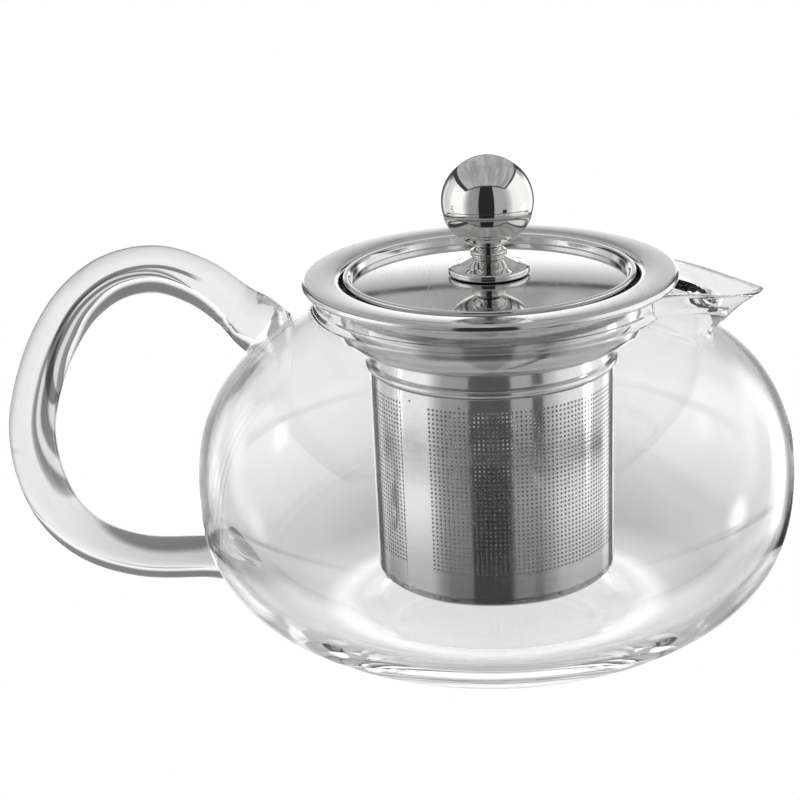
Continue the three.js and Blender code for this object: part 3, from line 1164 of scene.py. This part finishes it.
    def handle_path(self) -> np.ndarray:
        """Middle line of the handle rod in the XZ plane, from the shoulder to the lower wall.

        Returns:
            Points of the line, one row each.
        """
        stops = [(-51.0, 72.6), (-59.4, 80.2), (-67.6, 86.7), (-77.8, 90.4), (-88.2, 88.9), (-97.0, 83.0)]
        stops += [(-103.5, 74.4), (-108.4, 64.0), (-111.6, 51.6), (-111.0, 40.2), (-107.2, 29.6)]
        stops += [(-99.6, 21.6), (-88.2, 17.2), (-74.0, 16.5), (-60.0, 17.2)]
        return smooth_run([(x, 0.0, z) for x, z in stops], self.rod_step)

    def build_handle(self) -> Piece:
        """Glass rod with flared, ridged joints, trimmed inside the wall.

        Returns:
            The trimmed rod.
        """
        path = self.handle_path()
        run = np.concatenate([[0.0], np.cumsum(np.linalg.norm(np.diff(path, axis=0), axis=1))])
        t = run / run[-1]
        top, top_ease = self.flare_run
        foot, foot_ease = self.foot_flare_run
        narrows, narrowing = self.taper
        first, last = self.ridge_run
        start_side = smoothstep((top - run) / top_ease)
        end_side = smoothstep((run - run[-1] + foot) / foot_ease)
        thick = mix(self.rod_radius, self.rod_foot_radius, smoothstep((t - narrows) / narrowing))
        thick = thick + self.flare * start_side**1.5 + self.flare * 0.7 * end_side
        ridged = smoothstep((last - run) / self.ridge_ease) * smoothstep((run - first) / self.ridge_ease)
        thick = thick + self.ridge * np.sin(run / self.ridge_pitch * 2 * math.pi) * ridged
        made = make_object("drawn_handle_rod", path, [], [(i, i + 1) for i in range(len(path) - 1)])
        layer = made.data.attributes.new("rod_radius", "FLOAT", "POINT")
        layer.data.foreach_set("value", (thick * MM).astype(np.float32))
        rod_tree().run(made, {"Sides": self.rod_sides, "Finish": self.finishes.rod_glass})
        gap = self.joint_gap
        width, drop, rise = self.width + gap, self.base_drop + gap, self.shoulder_rise + gap
        core = self.section(width, drop, rise, -gap, self.foot_radius, self.neck_radius, self.core_steps)
        core.append((0.0, self.neck_foot_z - 4))
        return cut(made, turn("core", core, self.core_segments, False))

    def build(self) -> list[Piece]:
        """Build body and handle, and tie them to the frame.

        Returns:
            Both pieces.
        """
        made = self.finishes
        body = finish_mesh(self.build_body(), self.sharp_degrees)
        handle = finish_mesh(self.build_handle(), self.sharp_degrees)
        return [
            hand_over(body, Body.VESSEL, made.glass, ["glass_body"]),
            hand_over(handle, Body.VESSEL, made.rod_glass, ["glass_handle"]),
        ]


@dataclass
class Infuser:
    """Hanging infuser: pressed collar, perforated wall and perforated floor."""

    finishes: Finishes
    sheet: float = 0.8
    hem: float = 1.1
    flange_fall: float = 0.4
    bowl_radius: float = 35.8
    bowl_curve_z: float = 79.0
    bowl_bottom_z: float = 71.2
    neck_radius: float = 28.5
    bead_z: float = 66.5
    wall_sheet: float = 0.6
    corner: float = 3.2
    lip_radius: float = 24.5
    columns: int = 169
    rows: int = 38
    row_pitch: float = 1.06
    last_row_z: float = 23.2
    rows_above: int = 1
    rows_below: int = 7
    hole_radius: float = 0.3
    inner_hole_radius: float = 0.36
    blank_degrees: float = -38.4
    blank_columns: int = 7
    pilots_above: tuple[float, ...] = (-39.8, -14.7)
    pilots_below: tuple[float, ...] = (-42.3, -22.0, 40.3)
    pilot_heights: Point = (63.8, 16.5)
    floor_hole_radius: float = 0.45
    floor_pitch: float = 1.9
    floor_field: float = 22.6
    floor_holes_across: int = 25
    floor_segments: int = 96
    collar_segments: int = 180
    weld_distance: float = 0.02
    rim_bevel: float = 0.15
    sharp_degrees: float = 30.0

    def __post_init__(self) -> None:
        """Read the outer sizes from the frame."""
        self.flange = Reach.of("infuser_collar")
        self.wall = Reach.of("basket_wall")
        self.base = Reach.of("basket_floor")
        self.wall_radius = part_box("basket_wall")[1].x / MM

    def build_collar(self) -> Piece:
        """Pressed collar: rolled flange, deep bowl, narrow neck, bead and inner sleeve.

        Returns:
            The collar.
        """
        top, edge = self.flange.high, self.flange.radius
        sleeve = self.wall_radius - self.wall_sheet - GAP
        bowl = self.bowl_radius - self.neck_radius - 0.9
        deep = self.bowl_curve_z - self.bowl_bottom_z
        curve = (self.bowl_radius - bowl, self.bowl_curve_z)
        hem_at = (edge - self.hem, top - self.hem)
        lead = (self.bowl_radius + 0.7, top - 1.4 - self.flange_fall)
        neck, bead = self.neck_radius, self.bead_z
        shoulder = self.wall.high + GAP
        low = self.flange.low
        outline = rounded([(sleeve, low, 0), (sleeve, shoulder, 0.2), (neck + 0.4, shoulder, 0)], False)
        outline += arc((neck + 0.45, bead + 0.3), (0.8, 0.85), -60, 70, 10)
        foot = [(neck + 0.3, bead + 1.25, 0), (neck, bead + 1.4, 0.2), (neck, bead + 3, 0)]
        outline += rounded(foot, False)
        outline += [(neck, self.bowl_bottom_z - 0.6)]
        outline += arc(curve, (bowl, deep), -88, 0, 26)
        outline += rounded(
            [
                (self.bowl_radius, top - self.sheet - 2.5, 0),
                (self.bowl_radius, top - self.sheet - self.flange_fall, 0.9),
                (edge - self.hem - 1.0, top - self.sheet - self.flange_fall * 0.4, 0.3),
                (edge - self.hem - 0.8, top - 1.6, 0),
            ],
            False,
        )[1:-1]
        outline += arc(hem_at, self.hem, -140, 90, 20)
        outline += arc(lead, (1.5, 1.4), 90, 180, 10)
        outline += arc(curve, (bowl - self.sheet, deep - self.sheet), 0, -88, 26)
        outline += rounded(
            [
                (curve[0] - 0.3, self.bowl_bottom_z + self.sheet, 0),
                (neck - self.sheet, self.bowl_bottom_z + 0.2, 0.5),
                (neck - self.sheet, shoulder + 0.7, 0.3),
                (sleeve - self.wall_sheet, shoulder, 0.3),
                (sleeve - self.wall_sheet, low, 0),
            ],
            False,
        )[1:]
        return finish_mesh(turn("infuser_collar_sheet", outline, self.collar_segments))

    def cell(self, name: str, holed: bool, pitch: float) -> Piece:
        """One flat cell of the wall, outer face up.

        Args:
            name: Name of the helper object.
            holed: Whether a hole goes through it.
            pitch: Width of the cell.

        Returns:
            The helper object, open at its four sides.
        """
        w, h, t = pitch / 2, self.row_pitch / 2, -self.wall_sheet
        square = [(-w, -h), (w, -h), (w, h), (-w, h)]
        points = [(x, y, 0.0) for x, y in square] + [(x, y, t) for x, y in square]
        if not holed:
            return make_object(name, np.array(points), [(0, 1, 2, 3), (7, 6, 5, 4)])
        six = [math.radians(60 * k) for k in range(6)]
        four = [math.radians(90 * k) for k in range(4)]
        outer, inner = self.hole_radius, self.inner_hole_radius
        points += [(outer * math.cos(a), outer * math.sin(a), 0.0) for a in six]
        points += [(inner * math.cos(a), inner * math.sin(a), t) for a in four]
        front = [(1, 2, 8), (2, 9, 8), (2, 3, 10, 9), (3, 11, 10)]
        front += [(3, 0, 11), (0, 12, 11), (0, 1, 13, 12), (1, 8, 13)]
        back = [(5, 14, 6), (6, 14, 15), (6, 15, 7), (7, 15, 16)]
        back += [(7, 16, 4), (4, 16, 17), (4, 17, 5), (5, 17, 14)]
        bore = [(8, 9, 14), (9, 15, 14), (9, 10, 15), (10, 11, 15), (11, 16, 15)]
        bore += [(11, 12, 16), (12, 17, 16), (12, 13, 17), (13, 8, 17), (8, 14, 17)]
        return make_object(name, np.array(points), front + back + bore)

    def build_wall(self) -> Piece:
        """Rolled wall with its field of fine holes, seam strip and turned-in lower edge.

        Returns:
            The holed wall.
        """
        radius, inside = self.wall_radius, self.wall_radius - self.wall_sheet
        pitch = 2 * math.pi * radius / self.columns
        rows = self.rows + self.rows_above + self.rows_below
        low = self.last_row_z - (self.rows_below + 0.5) * self.row_pitch
        high = low + rows * self.row_pitch
        top, bottom = self.wall.high, self.wall.low
        bend = (radius - self.corner, bottom + self.corner)
        foot = [(inside, low)] + arc(bend, self.corner - self.wall_sheet, 0, -90, 6)
        foot += [(self.lip_radius, bottom + self.wall_sheet), (self.lip_radius, bottom)]
        foot += arc(bend, self.corner, -90, 0, 7) + [(radius, low)]
        bevel = self.rim_bevel
        head = [(radius, high), (radius, top - bevel), (radius - bevel, top)]
        head += [(inside + bevel, top), (inside, top - bevel), (inside, high)]
        wall = turn("basket_wall_sheet", foot, self.columns, False)
        rim = turn("rim", head, self.columns, False)
        work = bmesh.new()
        for part in (wall, rim):
            work.from_mesh(part.data)
        work.to_mesh(wall.data)
        work.free()
        bpy.data.objects.remove(rim)

        def column_at(degrees: float) -> int:
            """Number of the column at an angle from the front."""
            return int((degrees + 180) / 360 * self.columns)

        def index_at(degrees: float, z: float) -> int:
            """Number of the cell at an angle and a height."""
            row = min(max(int((z - low) / self.row_pitch), 0), rows - 1)
            return column_at(degrees) * rows + row

        blank = column_at(self.blank_degrees) - self.blank_columns // 2
        cells = [self.cell("holed_cell", True, pitch), self.cell("plain_cell", False, pitch)]
        values = {
            "Holed Cell": cells[0],
            "Plain Cell": cells[1],
            "Columns": self.columns,
            "Rows": rows,
            "Column Pitch": pitch * MM,
            "Row Pitch": self.row_pitch * MM,
            "Radius": radius * MM,
            "Middle Height": (low + high) / 2 * MM,
            "First Row": self.rows_below,
            "Last Row": self.rows_below + self.rows - 1,
            "Blank From": blank,
            "Blank To": blank + self.blank_columns - 1,
            "Weld Distance": self.weld_distance * MM,
            "Finish": self.finishes.basket,
        }
        above, below = self.pilot_heights
        pilots = [index_at(degrees, above) for degrees in self.pilots_above]
        pilots += [index_at(degrees, below) for degrees in self.pilots_below]
        values |= {f"Pilot {i + 1}": pilot for i, pilot in enumerate(pilots)}
        perforated_wall_tree(len(pilots)).run(wall, values)
        for helper in cells:
            bpy.data.objects.remove(helper)
        return finish_mesh(wall, self.sharp_degrees)

    def build_floor(self) -> Piece:
        """Perforated floor disc with an upstand that sits on the wall's turned-in edge.

        Returns:
            The drilled floor.
        """
        z, edge, sheet = self.base.low, self.base.radius, self.wall_sheet
        outline = [(0.0, z)] + rounded(
            [
                (0.0, z, 0),
                (edge - 2.5, z, 0.6),
                (edge - 0.8, z + 0.7, 1.0),
                (edge - 0.02, self.base.high, 0.1),
                (edge - 0.6, self.base.high, 0.1),
                (edge - 1.3, z + 1.1, 0.8),
                (edge - 2.7, z + sheet, 0.6),
                (0.0, z + sheet, 0),
            ],
            False,
        )[1:]
        disc = turn("basket_floor_disc", outline, self.floor_segments, False)
        finish_mesh(disc)
        values = {
            "Count": self.floor_holes_across,
            "Pitch": self.floor_pitch * MM,
            "Hole Radius": self.floor_hole_radius * MM,
            "Field Radius": self.floor_field * MM,
            "Height": (z + sheet / 2) * MM,
            "Drill Length": sheet * 3 * MM,
            "Finish": self.finishes.floor,
        }
        return finish_mesh(perforated_disc_tree().run(disc, values))

    def build(self) -> list[Piece]:
        """Build the three pieces and tie them to the frame.

        Returns:
            The three pieces.
        """
        made = self.finishes
        return [
            hand_over(self.build_collar(), Body.INFUSER, made.collar, ["infuser_collar"]),
            hand_over(self.build_wall(), Body.INFUSER, made.basket, ["basket_wall"]),
            hand_over(self.build_floor(), Body.INFUSER, made.floor, ["basket_floor"]),
        ]


@dataclass
class Lid:
    """Steel lid: domed panel with a folded rim and skirt, ball knob, foot and screw."""

    finishes: Finishes
    sheet: float = 0.8
    centre_z: float = 87.3
    edge_z: float = 85.9
    panel_radius: float = 32.3
    skirt_radius: float = 33.5
    bore: float = 2.0
    ball_z: float = 104.5
    bead_radius: float = 3.8
    shaft_radius: float = 1.7
    slot_width: float = 0.7
    head_height: float = 2.3
    slot_depth: float = 1.2
    panel_segments: int = 192
    knob_segments: int = 112
    screw_segments: int = 48

    def __post_init__(self) -> None:
        """Read the outer sizes from the frame."""
        self.disc = Reach.of("lid_disc")
        self.ball = Reach.of("knob_ball")
        self.foot = Reach.of("knob_base")
        self.screw = Reach.of("knob_screw")

    def dome_z(self, r: float) -> float:
        """Height of the panel's top at a radius."""
        return self.centre_z - (self.centre_z - self.edge_z) * (r / self.panel_radius) ** 2

    def build_disc(self) -> Piece:
        """Domed panel sunk inside its raised rim, with the skirt under it.

        Returns:
            The lid panel.
        """
        rim, top = self.disc.radius, self.disc.high
        stops = np.linspace(self.bore, self.panel_radius, 30)
        panel = [(r, self.dome_z(r)) for r in stops[:-1]]
        fold = rounded(
            [
                (*panel[-1], 0),
                (self.panel_radius, self.dome_z(self.panel_radius), 0.3),
                (self.panel_radius + 0.2, top - 0.7, 0.4),
                (self.panel_radius + 0.8, top, 0.5),
                (rim, top, 0.8),
                (rim, top - 1.5, 0.5),
                (self.skirt_radius, top - 2.0, 0.3),
                (self.skirt_radius, self.disc.low, 0.3),
                (self.skirt_radius - self.sheet, self.disc.low, 0.3),
                (self.skirt_radius - self.sheet, self.edge_z - self.sheet - 0.2, 0.5),
                (self.panel_radius - 2, self.dome_z(self.panel_radius - 2) - self.sheet, 0),
            ],
            False,
            6,
        )[1:-1]
        under = [(r, self.dome_z(r) - self.sheet) for r in np.linspace(self.panel_radius - 2, self.bore, 16)]
        return finish_mesh(turn("lid_panel", panel + fold + under, self.panel_segments))

    def build_ball(self) -> Piece:
        """Hollow-bored ball of the knob with a small flat at its foot.

        Returns:
            The ball.
        """
        radius, flat = self.ball.high - self.ball_z, self.ball.low
        start = math.degrees(math.asin((flat - self.ball_z) / radius))
        shell = arc((0.0, self.ball_z), radius, start, 90, 56)
        shell[-1] = (0.0, self.ball_z + radius)
        depth = self.screw.high + 0.6
        outline = [(0.0, depth), (self.bore, depth), (self.bore, flat)] + shell
        return finish_mesh(turn("knob_ball_turned", outline, self.knob_segments, False))

    def build_foot(self) -> Piece:
        """Turned foot: a rounded ring, a hollow cone and a small bead under the ball.

        Returns:
            The foot.
        """
        low, high, edge, bead = self.centre_z + 0.1, self.foot.high, self.foot.radius, self.bead_radius
        outline = rounded(
            [
                (self.bore, low, 0),
                (edge, low, 0.5),
                (edge, low + 1.6, 1.1),
                (edge - 2.2, low + 2.3, 0.5),
                (edge - 2.8, low + 2.4, 0.25),
                (bead + 1.0, low + 3.4, 1.3),
                (bead - 0.2, low + 4.0, 0.25),
                (bead + 0.5, low + 4.4, 0.5),
                (bead + 0.5, low + 5.4, 0.5),
                (bead - 0.3, low + 5.8, 0.25),
                (bead - 0.8, high, 0),
                (self.bore, high, 0),
            ],
            True,
            8,
        )
        return finish_mesh(turn("knob_foot_turned", outline, self.knob_segments))

    def build_screw(self) -> Piece:
        """Pan head screw with a crossed recess, seen from under the lid.

        Returns:
            The screw.
        """
        head, shaft = self.screw.radius, self.shaft_radius
        seat = self.centre_z - self.sheet - GAP
        low = seat - self.head_height
        pan = [(0.0, low, 0), (head * 0.6, low + 0.1, 1.0), (head, low + 1.1, 0.8)]
        pan += [(head, seat, 0.1), (shaft, seat, 0.1)]
        outline = [(0.0, low)] + rounded(pan, False)[1:]
        outline += [(shaft, self.screw.high - 0.4), (shaft - 0.4, self.screw.high), (0.0, self.screw.high)]
        screw = finish_mesh(turn("knob_screw_turned", outline, self.screw_segments, False))
        for across, along in ((self.slot_width, head * 1.1), (head * 1.1, self.slot_width)):
            half = np.array([across, along, self.slot_depth * 2]) / 2
            corners = np.array([(x, y, z) for x in (-1, 1) for y in (-1, 1) for z in (-1, 1)]) * half
            corners[:, 2] += low
            faces = [(0, 1, 3, 2), (4, 6, 7, 5), (0, 4, 5, 1), (2, 3, 7, 6), (0, 2, 6, 4), (1, 5, 7, 3)]
            cut(screw, make_object("slot", corners, faces))
        return finish_mesh(screw)

    def build(self) -> list[Piece]:
        """Build the four pieces and tie them to the frame.

        Returns:
            The four pieces.
        """
        made = self.finishes
        return [
            hand_over(self.build_disc(), Body.LID, made.lid, ["lid_disc"]),
            hand_over(self.build_ball(), Body.LID, made.ball, ["knob_ball"]),
            hand_over(self.build_foot(), Body.LID, made.foot, ["knob_base"]),
            hand_over(self.build_screw(), Body.LID, made.screw, ["knob_screw"]),
        ]


# --------------------------------------------------------------------------- studio


@dataclass
class Camera:
    """Camera in front of the teapot and a little above it."""

    distance: float = 0.45
    lens: float = 84.825
    sensor: float = 36.0
    pitch: float = 19.05
    yaw: float = -2.8
    tilt: float = -0.45
    roll: float = 1.45
    target_height: float = 0.060

    def build(self) -> Piece:
        """Place the camera and make it the scene's own.

        Returns:
            The camera.
        """
        pitch, yaw, tilt, roll = (math.radians(a) for a in (self.pitch, self.yaw, self.tilt, self.roll))
        ahead = Vector((0, math.cos(pitch), -math.sin(pitch)))
        right, up = Vector((1, 0, 0)), Vector((0, math.sin(pitch), math.cos(pitch)))
        place = Vector((0, 0, self.target_height)) - ahead * self.distance
        ahead, right = turn_pair(ahead, right, yaw)
        ahead, up = turn_pair(ahead, up, tilt)
        up, right = turn_pair(up, right, roll)
        data = bpy.data.cameras.new("camera")
        data.sensor_width, data.lens = self.sensor, self.lens
        data.clip_start, data.clip_end = 0.02, 50.0
        made = bpy.data.objects.new("camera", data)
        turned = Matrix((right, up, -ahead)).transposed().to_4x4()
        made.matrix_world = Matrix.Translation(place) @ turned
        bpy.context.scene.collection.objects.link(made)
        bpy.context.scene.camera = made
        return made


@dataclass
class Studio:
    """White table and a soft tent of light with the dark gaps that steel and glass need."""

    table_size: float = 6.0
    table_reach: float = 0.2
    shadow_middle: Point = (-0.088, 0.012)
    shadow_size: Point = (0.03, 0.018)
    front_gap_sides: Point = (-22.0, 17.0)
    sweep_sides: Point = (-128.0, 128.0)
    low_strip: Point = (-21.0, 16.0)
    table_edge: Point = (-21.6, -20.2)
    lower_line: Point = (38.5, 46.5)
    upper_line: Point = (37.0, 48.0)
    line_grey: float = 0.05
    panel_across: Point = (-1.3, 1.15)
    panel_along: Point = (-0.84, 2.8)
    panel_greys: Point = (0.4, 0.62)
    frame_across: Point = (-1.75, 1.3)
    frame_along: Point = (-0.95, 3.02)
    frame_grey: float = 0.07
    glow_places: tuple[Corner, ...] = ((-98.0, -16.0, 0.9), (100.0, -16.0, 3.0))
    glow_size: Point = (9.0, 12.0)
    trapped_light: float = 0.42
    camera_light: float = 1.0
    glass_passes: int = 32

    def build_table(self) -> Piece:
        """Plain white table top to the camera; seen through the glass it carries a painted pool of light
        under the teapot and a painted shadow ring round it.

        Returns:
            The table top.
        """
        half = self.table_size / 2 / MM
        corners = np.array([(-half, -half, 0), (half, -half, 0), (half, half, 0), (-half, half, 0)], float)
        table = make_object("table_top", corners, [(0, 1, 2, 3)])
        material = bpy.data.materials.new("white_table")
        material.use_nodes = True
        g = Graph(material.node_tree)
        x, y, _ = g.split(g.node("ShaderNodeTexCoord").outputs["Object"])
        reach = g.length(x, y)
        # Painted pool of light under the teapot and painted shadow ring round it, by distance from the
        # middle.
        painted_pool = g.curve(reach, self.painted_pool_stops(), 0.0, self.table_reach)
        seen = g.times(painted_pool, self.table_bands(g, x, y))
        path = g.node("ShaderNodeLightPath").outputs
        strength = g.blend(path["Is Camera Ray"], seen, self.camera_light)
        glow = g.node("ShaderNodeEmission", {"Strength": strength})
        mirrored = g.math("GREATER_THAN", path["Glossy Depth"], 0.5)
        unseen = g.node("ShaderNodeBsdfTransparent").outputs[0]
        shown = g.node("ShaderNodeMixShader", {0: mirrored, 1: glow.outputs[0], 2: unseen})
        out = material.node_tree.nodes["Material Output"]
        material.node_tree.nodes.remove(material.node_tree.nodes["Principled BSDF"])
        g.feed(out.inputs["Surface"], shown.outputs[0])
        table.data.materials.append(material)
        table.visible_glossy = False
        return table

    @staticmethod
    def painted_pool_stops() -> list[tuple[float, float]]:
        """Painted pool of light under the teapot, painted shadow ring round it and lighter table further out:
        brightness at each distance from the middle, in metres.
        """
        stops = [(0.0, 0.86), (0.034, 0.9), (0.04, 1.12), (0.045, 0.7), (0.06, 0.5), (0.075, 0.54)]
        return stops + [(0.1, 0.64), (0.14, 0.8), (0.2, 0.9)]

    def table_bands(self, g: Graph, x: Socket, y: Socket) -> Socket:
        """Darker bands beside and behind the light table, and the handle's soft shadow.

        Args:
            g: Graph that the nodes join.
            x: Distance to the spout side.
            y: Distance to the back.

        Returns:
            Share of the light that the bands leave.
        """
        left = [(-1.0, 0.25), (-0.5, 0.3), (-0.42, 0.8), (-0.3, 0.8), (-0.26, 0.2), (-0.2, 0.22)]
        left += [(-0.19, 0.85), (-0.172, 0.85), (-0.168, 0.25), (-0.15, 0.3), (-0.143, 1.0)]
        sides = g.curve(x, left + [(0.25, 1.0), (0.6, 0.4), (1.0, 0.3)], -1.0, 1.0)
        beside = g.rise(x, -0.125, -0.115)
        back = [(0.0, 1.0), (0.22, 1.0), (0.235, 0.25), (0.3, 0.25), (0.32, 1.0), (2.0, 1.0)]
        behind = g.curve(y, back, 0.0, 2.0)
        along = g.over(g.minus(x, self.shadow_middle[0]), self.shadow_size[0])
        across = g.over(g.minus(y, self.shadow_middle[1]), self.shadow_size[1])
        away = g.length(along, across)
        shadow = g.rise(away, 0.6, 1.2, 0.3, 1.0)
        behind = g.math("MAXIMUM", behind, beside)
        return g.times(g.times(sides, behind), shadow)

    def build_tent(self) -> bpy.types.World:
        """Soft boxes, sweep, ceiling panel and dark gaps all round the teapot.

        Returns:
            The world that lights the scene.
        """
        world = bpy.data.worlds.new("light_tent")
        world.use_nodes = True
        g = Graph(world.node_tree)
        direction = g.node("ShaderNodeTexCoord").outputs["Generated"]
        x, y, z = g.split(direction)
        around = g.math("DEGREES", g.math("ARCTAN2", x, g.times(y, -1.0)))
        height = g.math("DEGREES", g.math("ARCSINE", z))
        walls = g.curve(around, self.wall_stops(), -180, 180)
        walls = g.blend(g.within(around, *self.front_gap_sides, 2), walls, self.front_gap(g, height))
        sweep = g.minus(1.0, g.within(around, *self.sweep_sides, 8))
        fade = g.rise(height, 9, 19, 1.5, 0.5)
        walls = g.blend(sweep, walls, g.times(walls, fade))
        walls = g.plus(walls, self.glows(g, around, height))
        walls = g.times(walls, g.rise(height, -28, -24.5, 0.45, 1.0))
        walls = g.blend(g.rise(height, -46, -34, 1.0, 0.0), walls, self.low_light(g, around, height))
        walls = self.dark_lines(g, walls, around, height)
        ceiling = self.ceiling(g, direction, walls)
        path = g.node("ShaderNodeLightPath").outputs
        through = g.math("LESS_THAN", path["Glossy Depth"], 0.5)
        above = g.curve(height, [(0, 1.0), (3, 1.0), (9, 0.2), (40, 0.14), (50, 0.6)], 0, 90)
        seen = g.blend(g.times(through, g.rise(height, -1, 1)), ceiling, above)
        few_passes = g.within(path["Transmission Depth"], 0.5, 3.5, 0.2)
        trapped = g.times(few_passes, g.minus(1.0, through))
        seen = g.blend(trapped, seen, g.math("MAXIMUM", seen, self.trapped_light))
        seen = g.blend(path["Is Camera Ray"], seen, 1.0)
        back = world.node_tree.nodes["Background"]
        g.feed(back.inputs["Color"], (1.0, 1.0, 1.0, 1.0))
        g.feed(back.inputs["Strength"], seen)
        bpy.context.scene.world = world
        return world

    @staticmethod
    def wall_stops() -> list[tuple[float, float]]:
        """Brightness around the tent, in degrees from the camera's side.

        Returns:
            Place in degrees and brightness of each stop.
        """
        left = [(-180, 1.0), (-160, 1.0), (-155, 0.1), (-142, 0.1), (-134, 0.7), (-104, 1.0)]
        left += [(-96, 1.35), (-64, 1.35), (-54, 0.7), (-46, 0.42), (-24, 0.36), (-17, 0.36)]
        right = [(17, 0.5), (44, 0.5), (56, 0.72), (66, 1.15), (90, 1.3), (138, 1.2)]
        return left + right + [(146, 0.1), (157, 0.1), (161, 1.0), (180, 1.0)]

    @staticmethod
    def front_gap(g: Graph, height: Socket) -> Socket:
        """Dark opening behind the camera, which pales towards the table."""
        stops = [(-90, 0.6), (-50, 0.35), (-33, 0.12), (-29, 0.03), (50, 0.03)]
        return g.curve(height, stops, -90, 90)

    def low_light(self, g: Graph, around: Socket, height: Socket) -> Socket:
        """Light that the pale table throws up from below, with a grey strip in front.

        Args:
            g: Graph that the nodes join.
            around: Degrees round the teapot from the front.
            height: Degrees above the horizon.

        Returns:
            Brightness below the teapot.
        """
        beneath = g.rise(height, -75, -50, 0.5, 0.62)
        strip = g.rise(g.within(around, *self.low_strip, 6), 0.0, 1.0, 1.0, 0.6)
        return g.times(beneath, strip)

    def glows(self, g: Graph, around: Socket, height: Socket) -> Socket:
        """Hot centres of the two soft boxes.

        Args:
            g: Graph that the nodes join.
            around: Degrees round the teapot from the front.
            height: Degrees above the horizon.

        Returns:
            Brightness that the hot centres add.
        """
        total: Value = 0.0
        for degrees, level, light in self.glow_places:
            across = g.over(g.minus(around, degrees), self.glow_size[0])
            up = g.over(g.minus(height, level), self.glow_size[1])
            away = g.length(across, up)
            total = g.plus(total, g.rise(away, 0.2, 0.8, light, 0.0))
        return total

    def dark_lines(self, g: Graph, walls: Socket, around: Socket, height: Socket) -> Socket:
        """Edge of the table and the narrow gap beside the right soft box.

        Args:
            g: Graph that the nodes join.
            walls: Brightness of the walls so far.
            around: Degrees round the teapot from the front.
            height: Degrees above the horizon.

        Returns:
            Brightness with the lines drawn in.
        """
        ring = g.times(g.within(height, *self.table_edge, 0.5), g.within(around, -125, 125, 10))
        narrow = g.times(g.within(around, *self.lower_line, 1.2), g.within(height, -82, -28, 2))
        upper = g.times(g.within(around, *self.upper_line, 1.2), g.within(height, -20, -12, 1))
        dark = g.math("MAXIMUM", g.math("MAXIMUM", ring, narrow), upper)
        return g.blend(dark, walls, self.line_grey)

    def ceiling(self, g: Graph, direction: Socket, walls: Socket) -> Socket:
        """Grey ceiling panel inside a dark frame.

        Args:
            g: Graph that the nodes join.
            direction: Direction of sight.
            walls: Brightness of the walls so far.

        Returns:
            Brightness with the ceiling drawn in.
        """
        x, y, z = g.split(direction)
        above = g.math("MAXIMUM", z, 0.02)
        across, along = g.over(x, above), g.over(y, above)
        streaks = g.noise(g.stretch(g.join(across, along, 0.0), (1.6, 0.35, 1.0), 32.0), 2.4, 3.0, 0.6)
        soft = 0.08
        panel = g.times(g.within(across, *self.panel_across, soft), g.within(along, *self.panel_along, soft))
        frame = g.times(g.within(across, *self.frame_across, soft), g.within(along, *self.frame_along, soft))
        up = g.rise(z, 0.05, 0.08)
        grey = g.blend(g.rise(streaks, 0.3, 0.7), *self.panel_greys)
        framed = g.blend(g.times(frame, up), walls, self.frame_grey)
        return g.blend(g.times(panel, up), framed, grey)

    def build(self) -> None:
        """Build table and tent, keep plain tones and let light cross the thick glass base."""
        self.build_table()
        self.build_tent()
        scene = bpy.context.scene
        paths = scene.cycles
        paths.max_bounces = paths.glossy_bounces = paths.transmission_bounces = self.glass_passes
        scene.view_settings.view_transform = "Standard"
        scene.view_settings.look = "None"


def main() -> None:
    """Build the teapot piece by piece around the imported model."""
    logging.basicConfig(level=logging.INFO, format="%(name)s: %(message)s")
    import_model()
    Camera().build()
    Studio().build()
    finishes = Finishes()
    for assembly in (GlassVessel(finishes), Infuser(finishes), Lid(finishes)):
        for piece in assembly.build():
            LOG.info("%s: %s, %d faces", type(assembly).__name__, piece.name, len(piece.data.polygons))


if __name__ == "__main__":
    main()
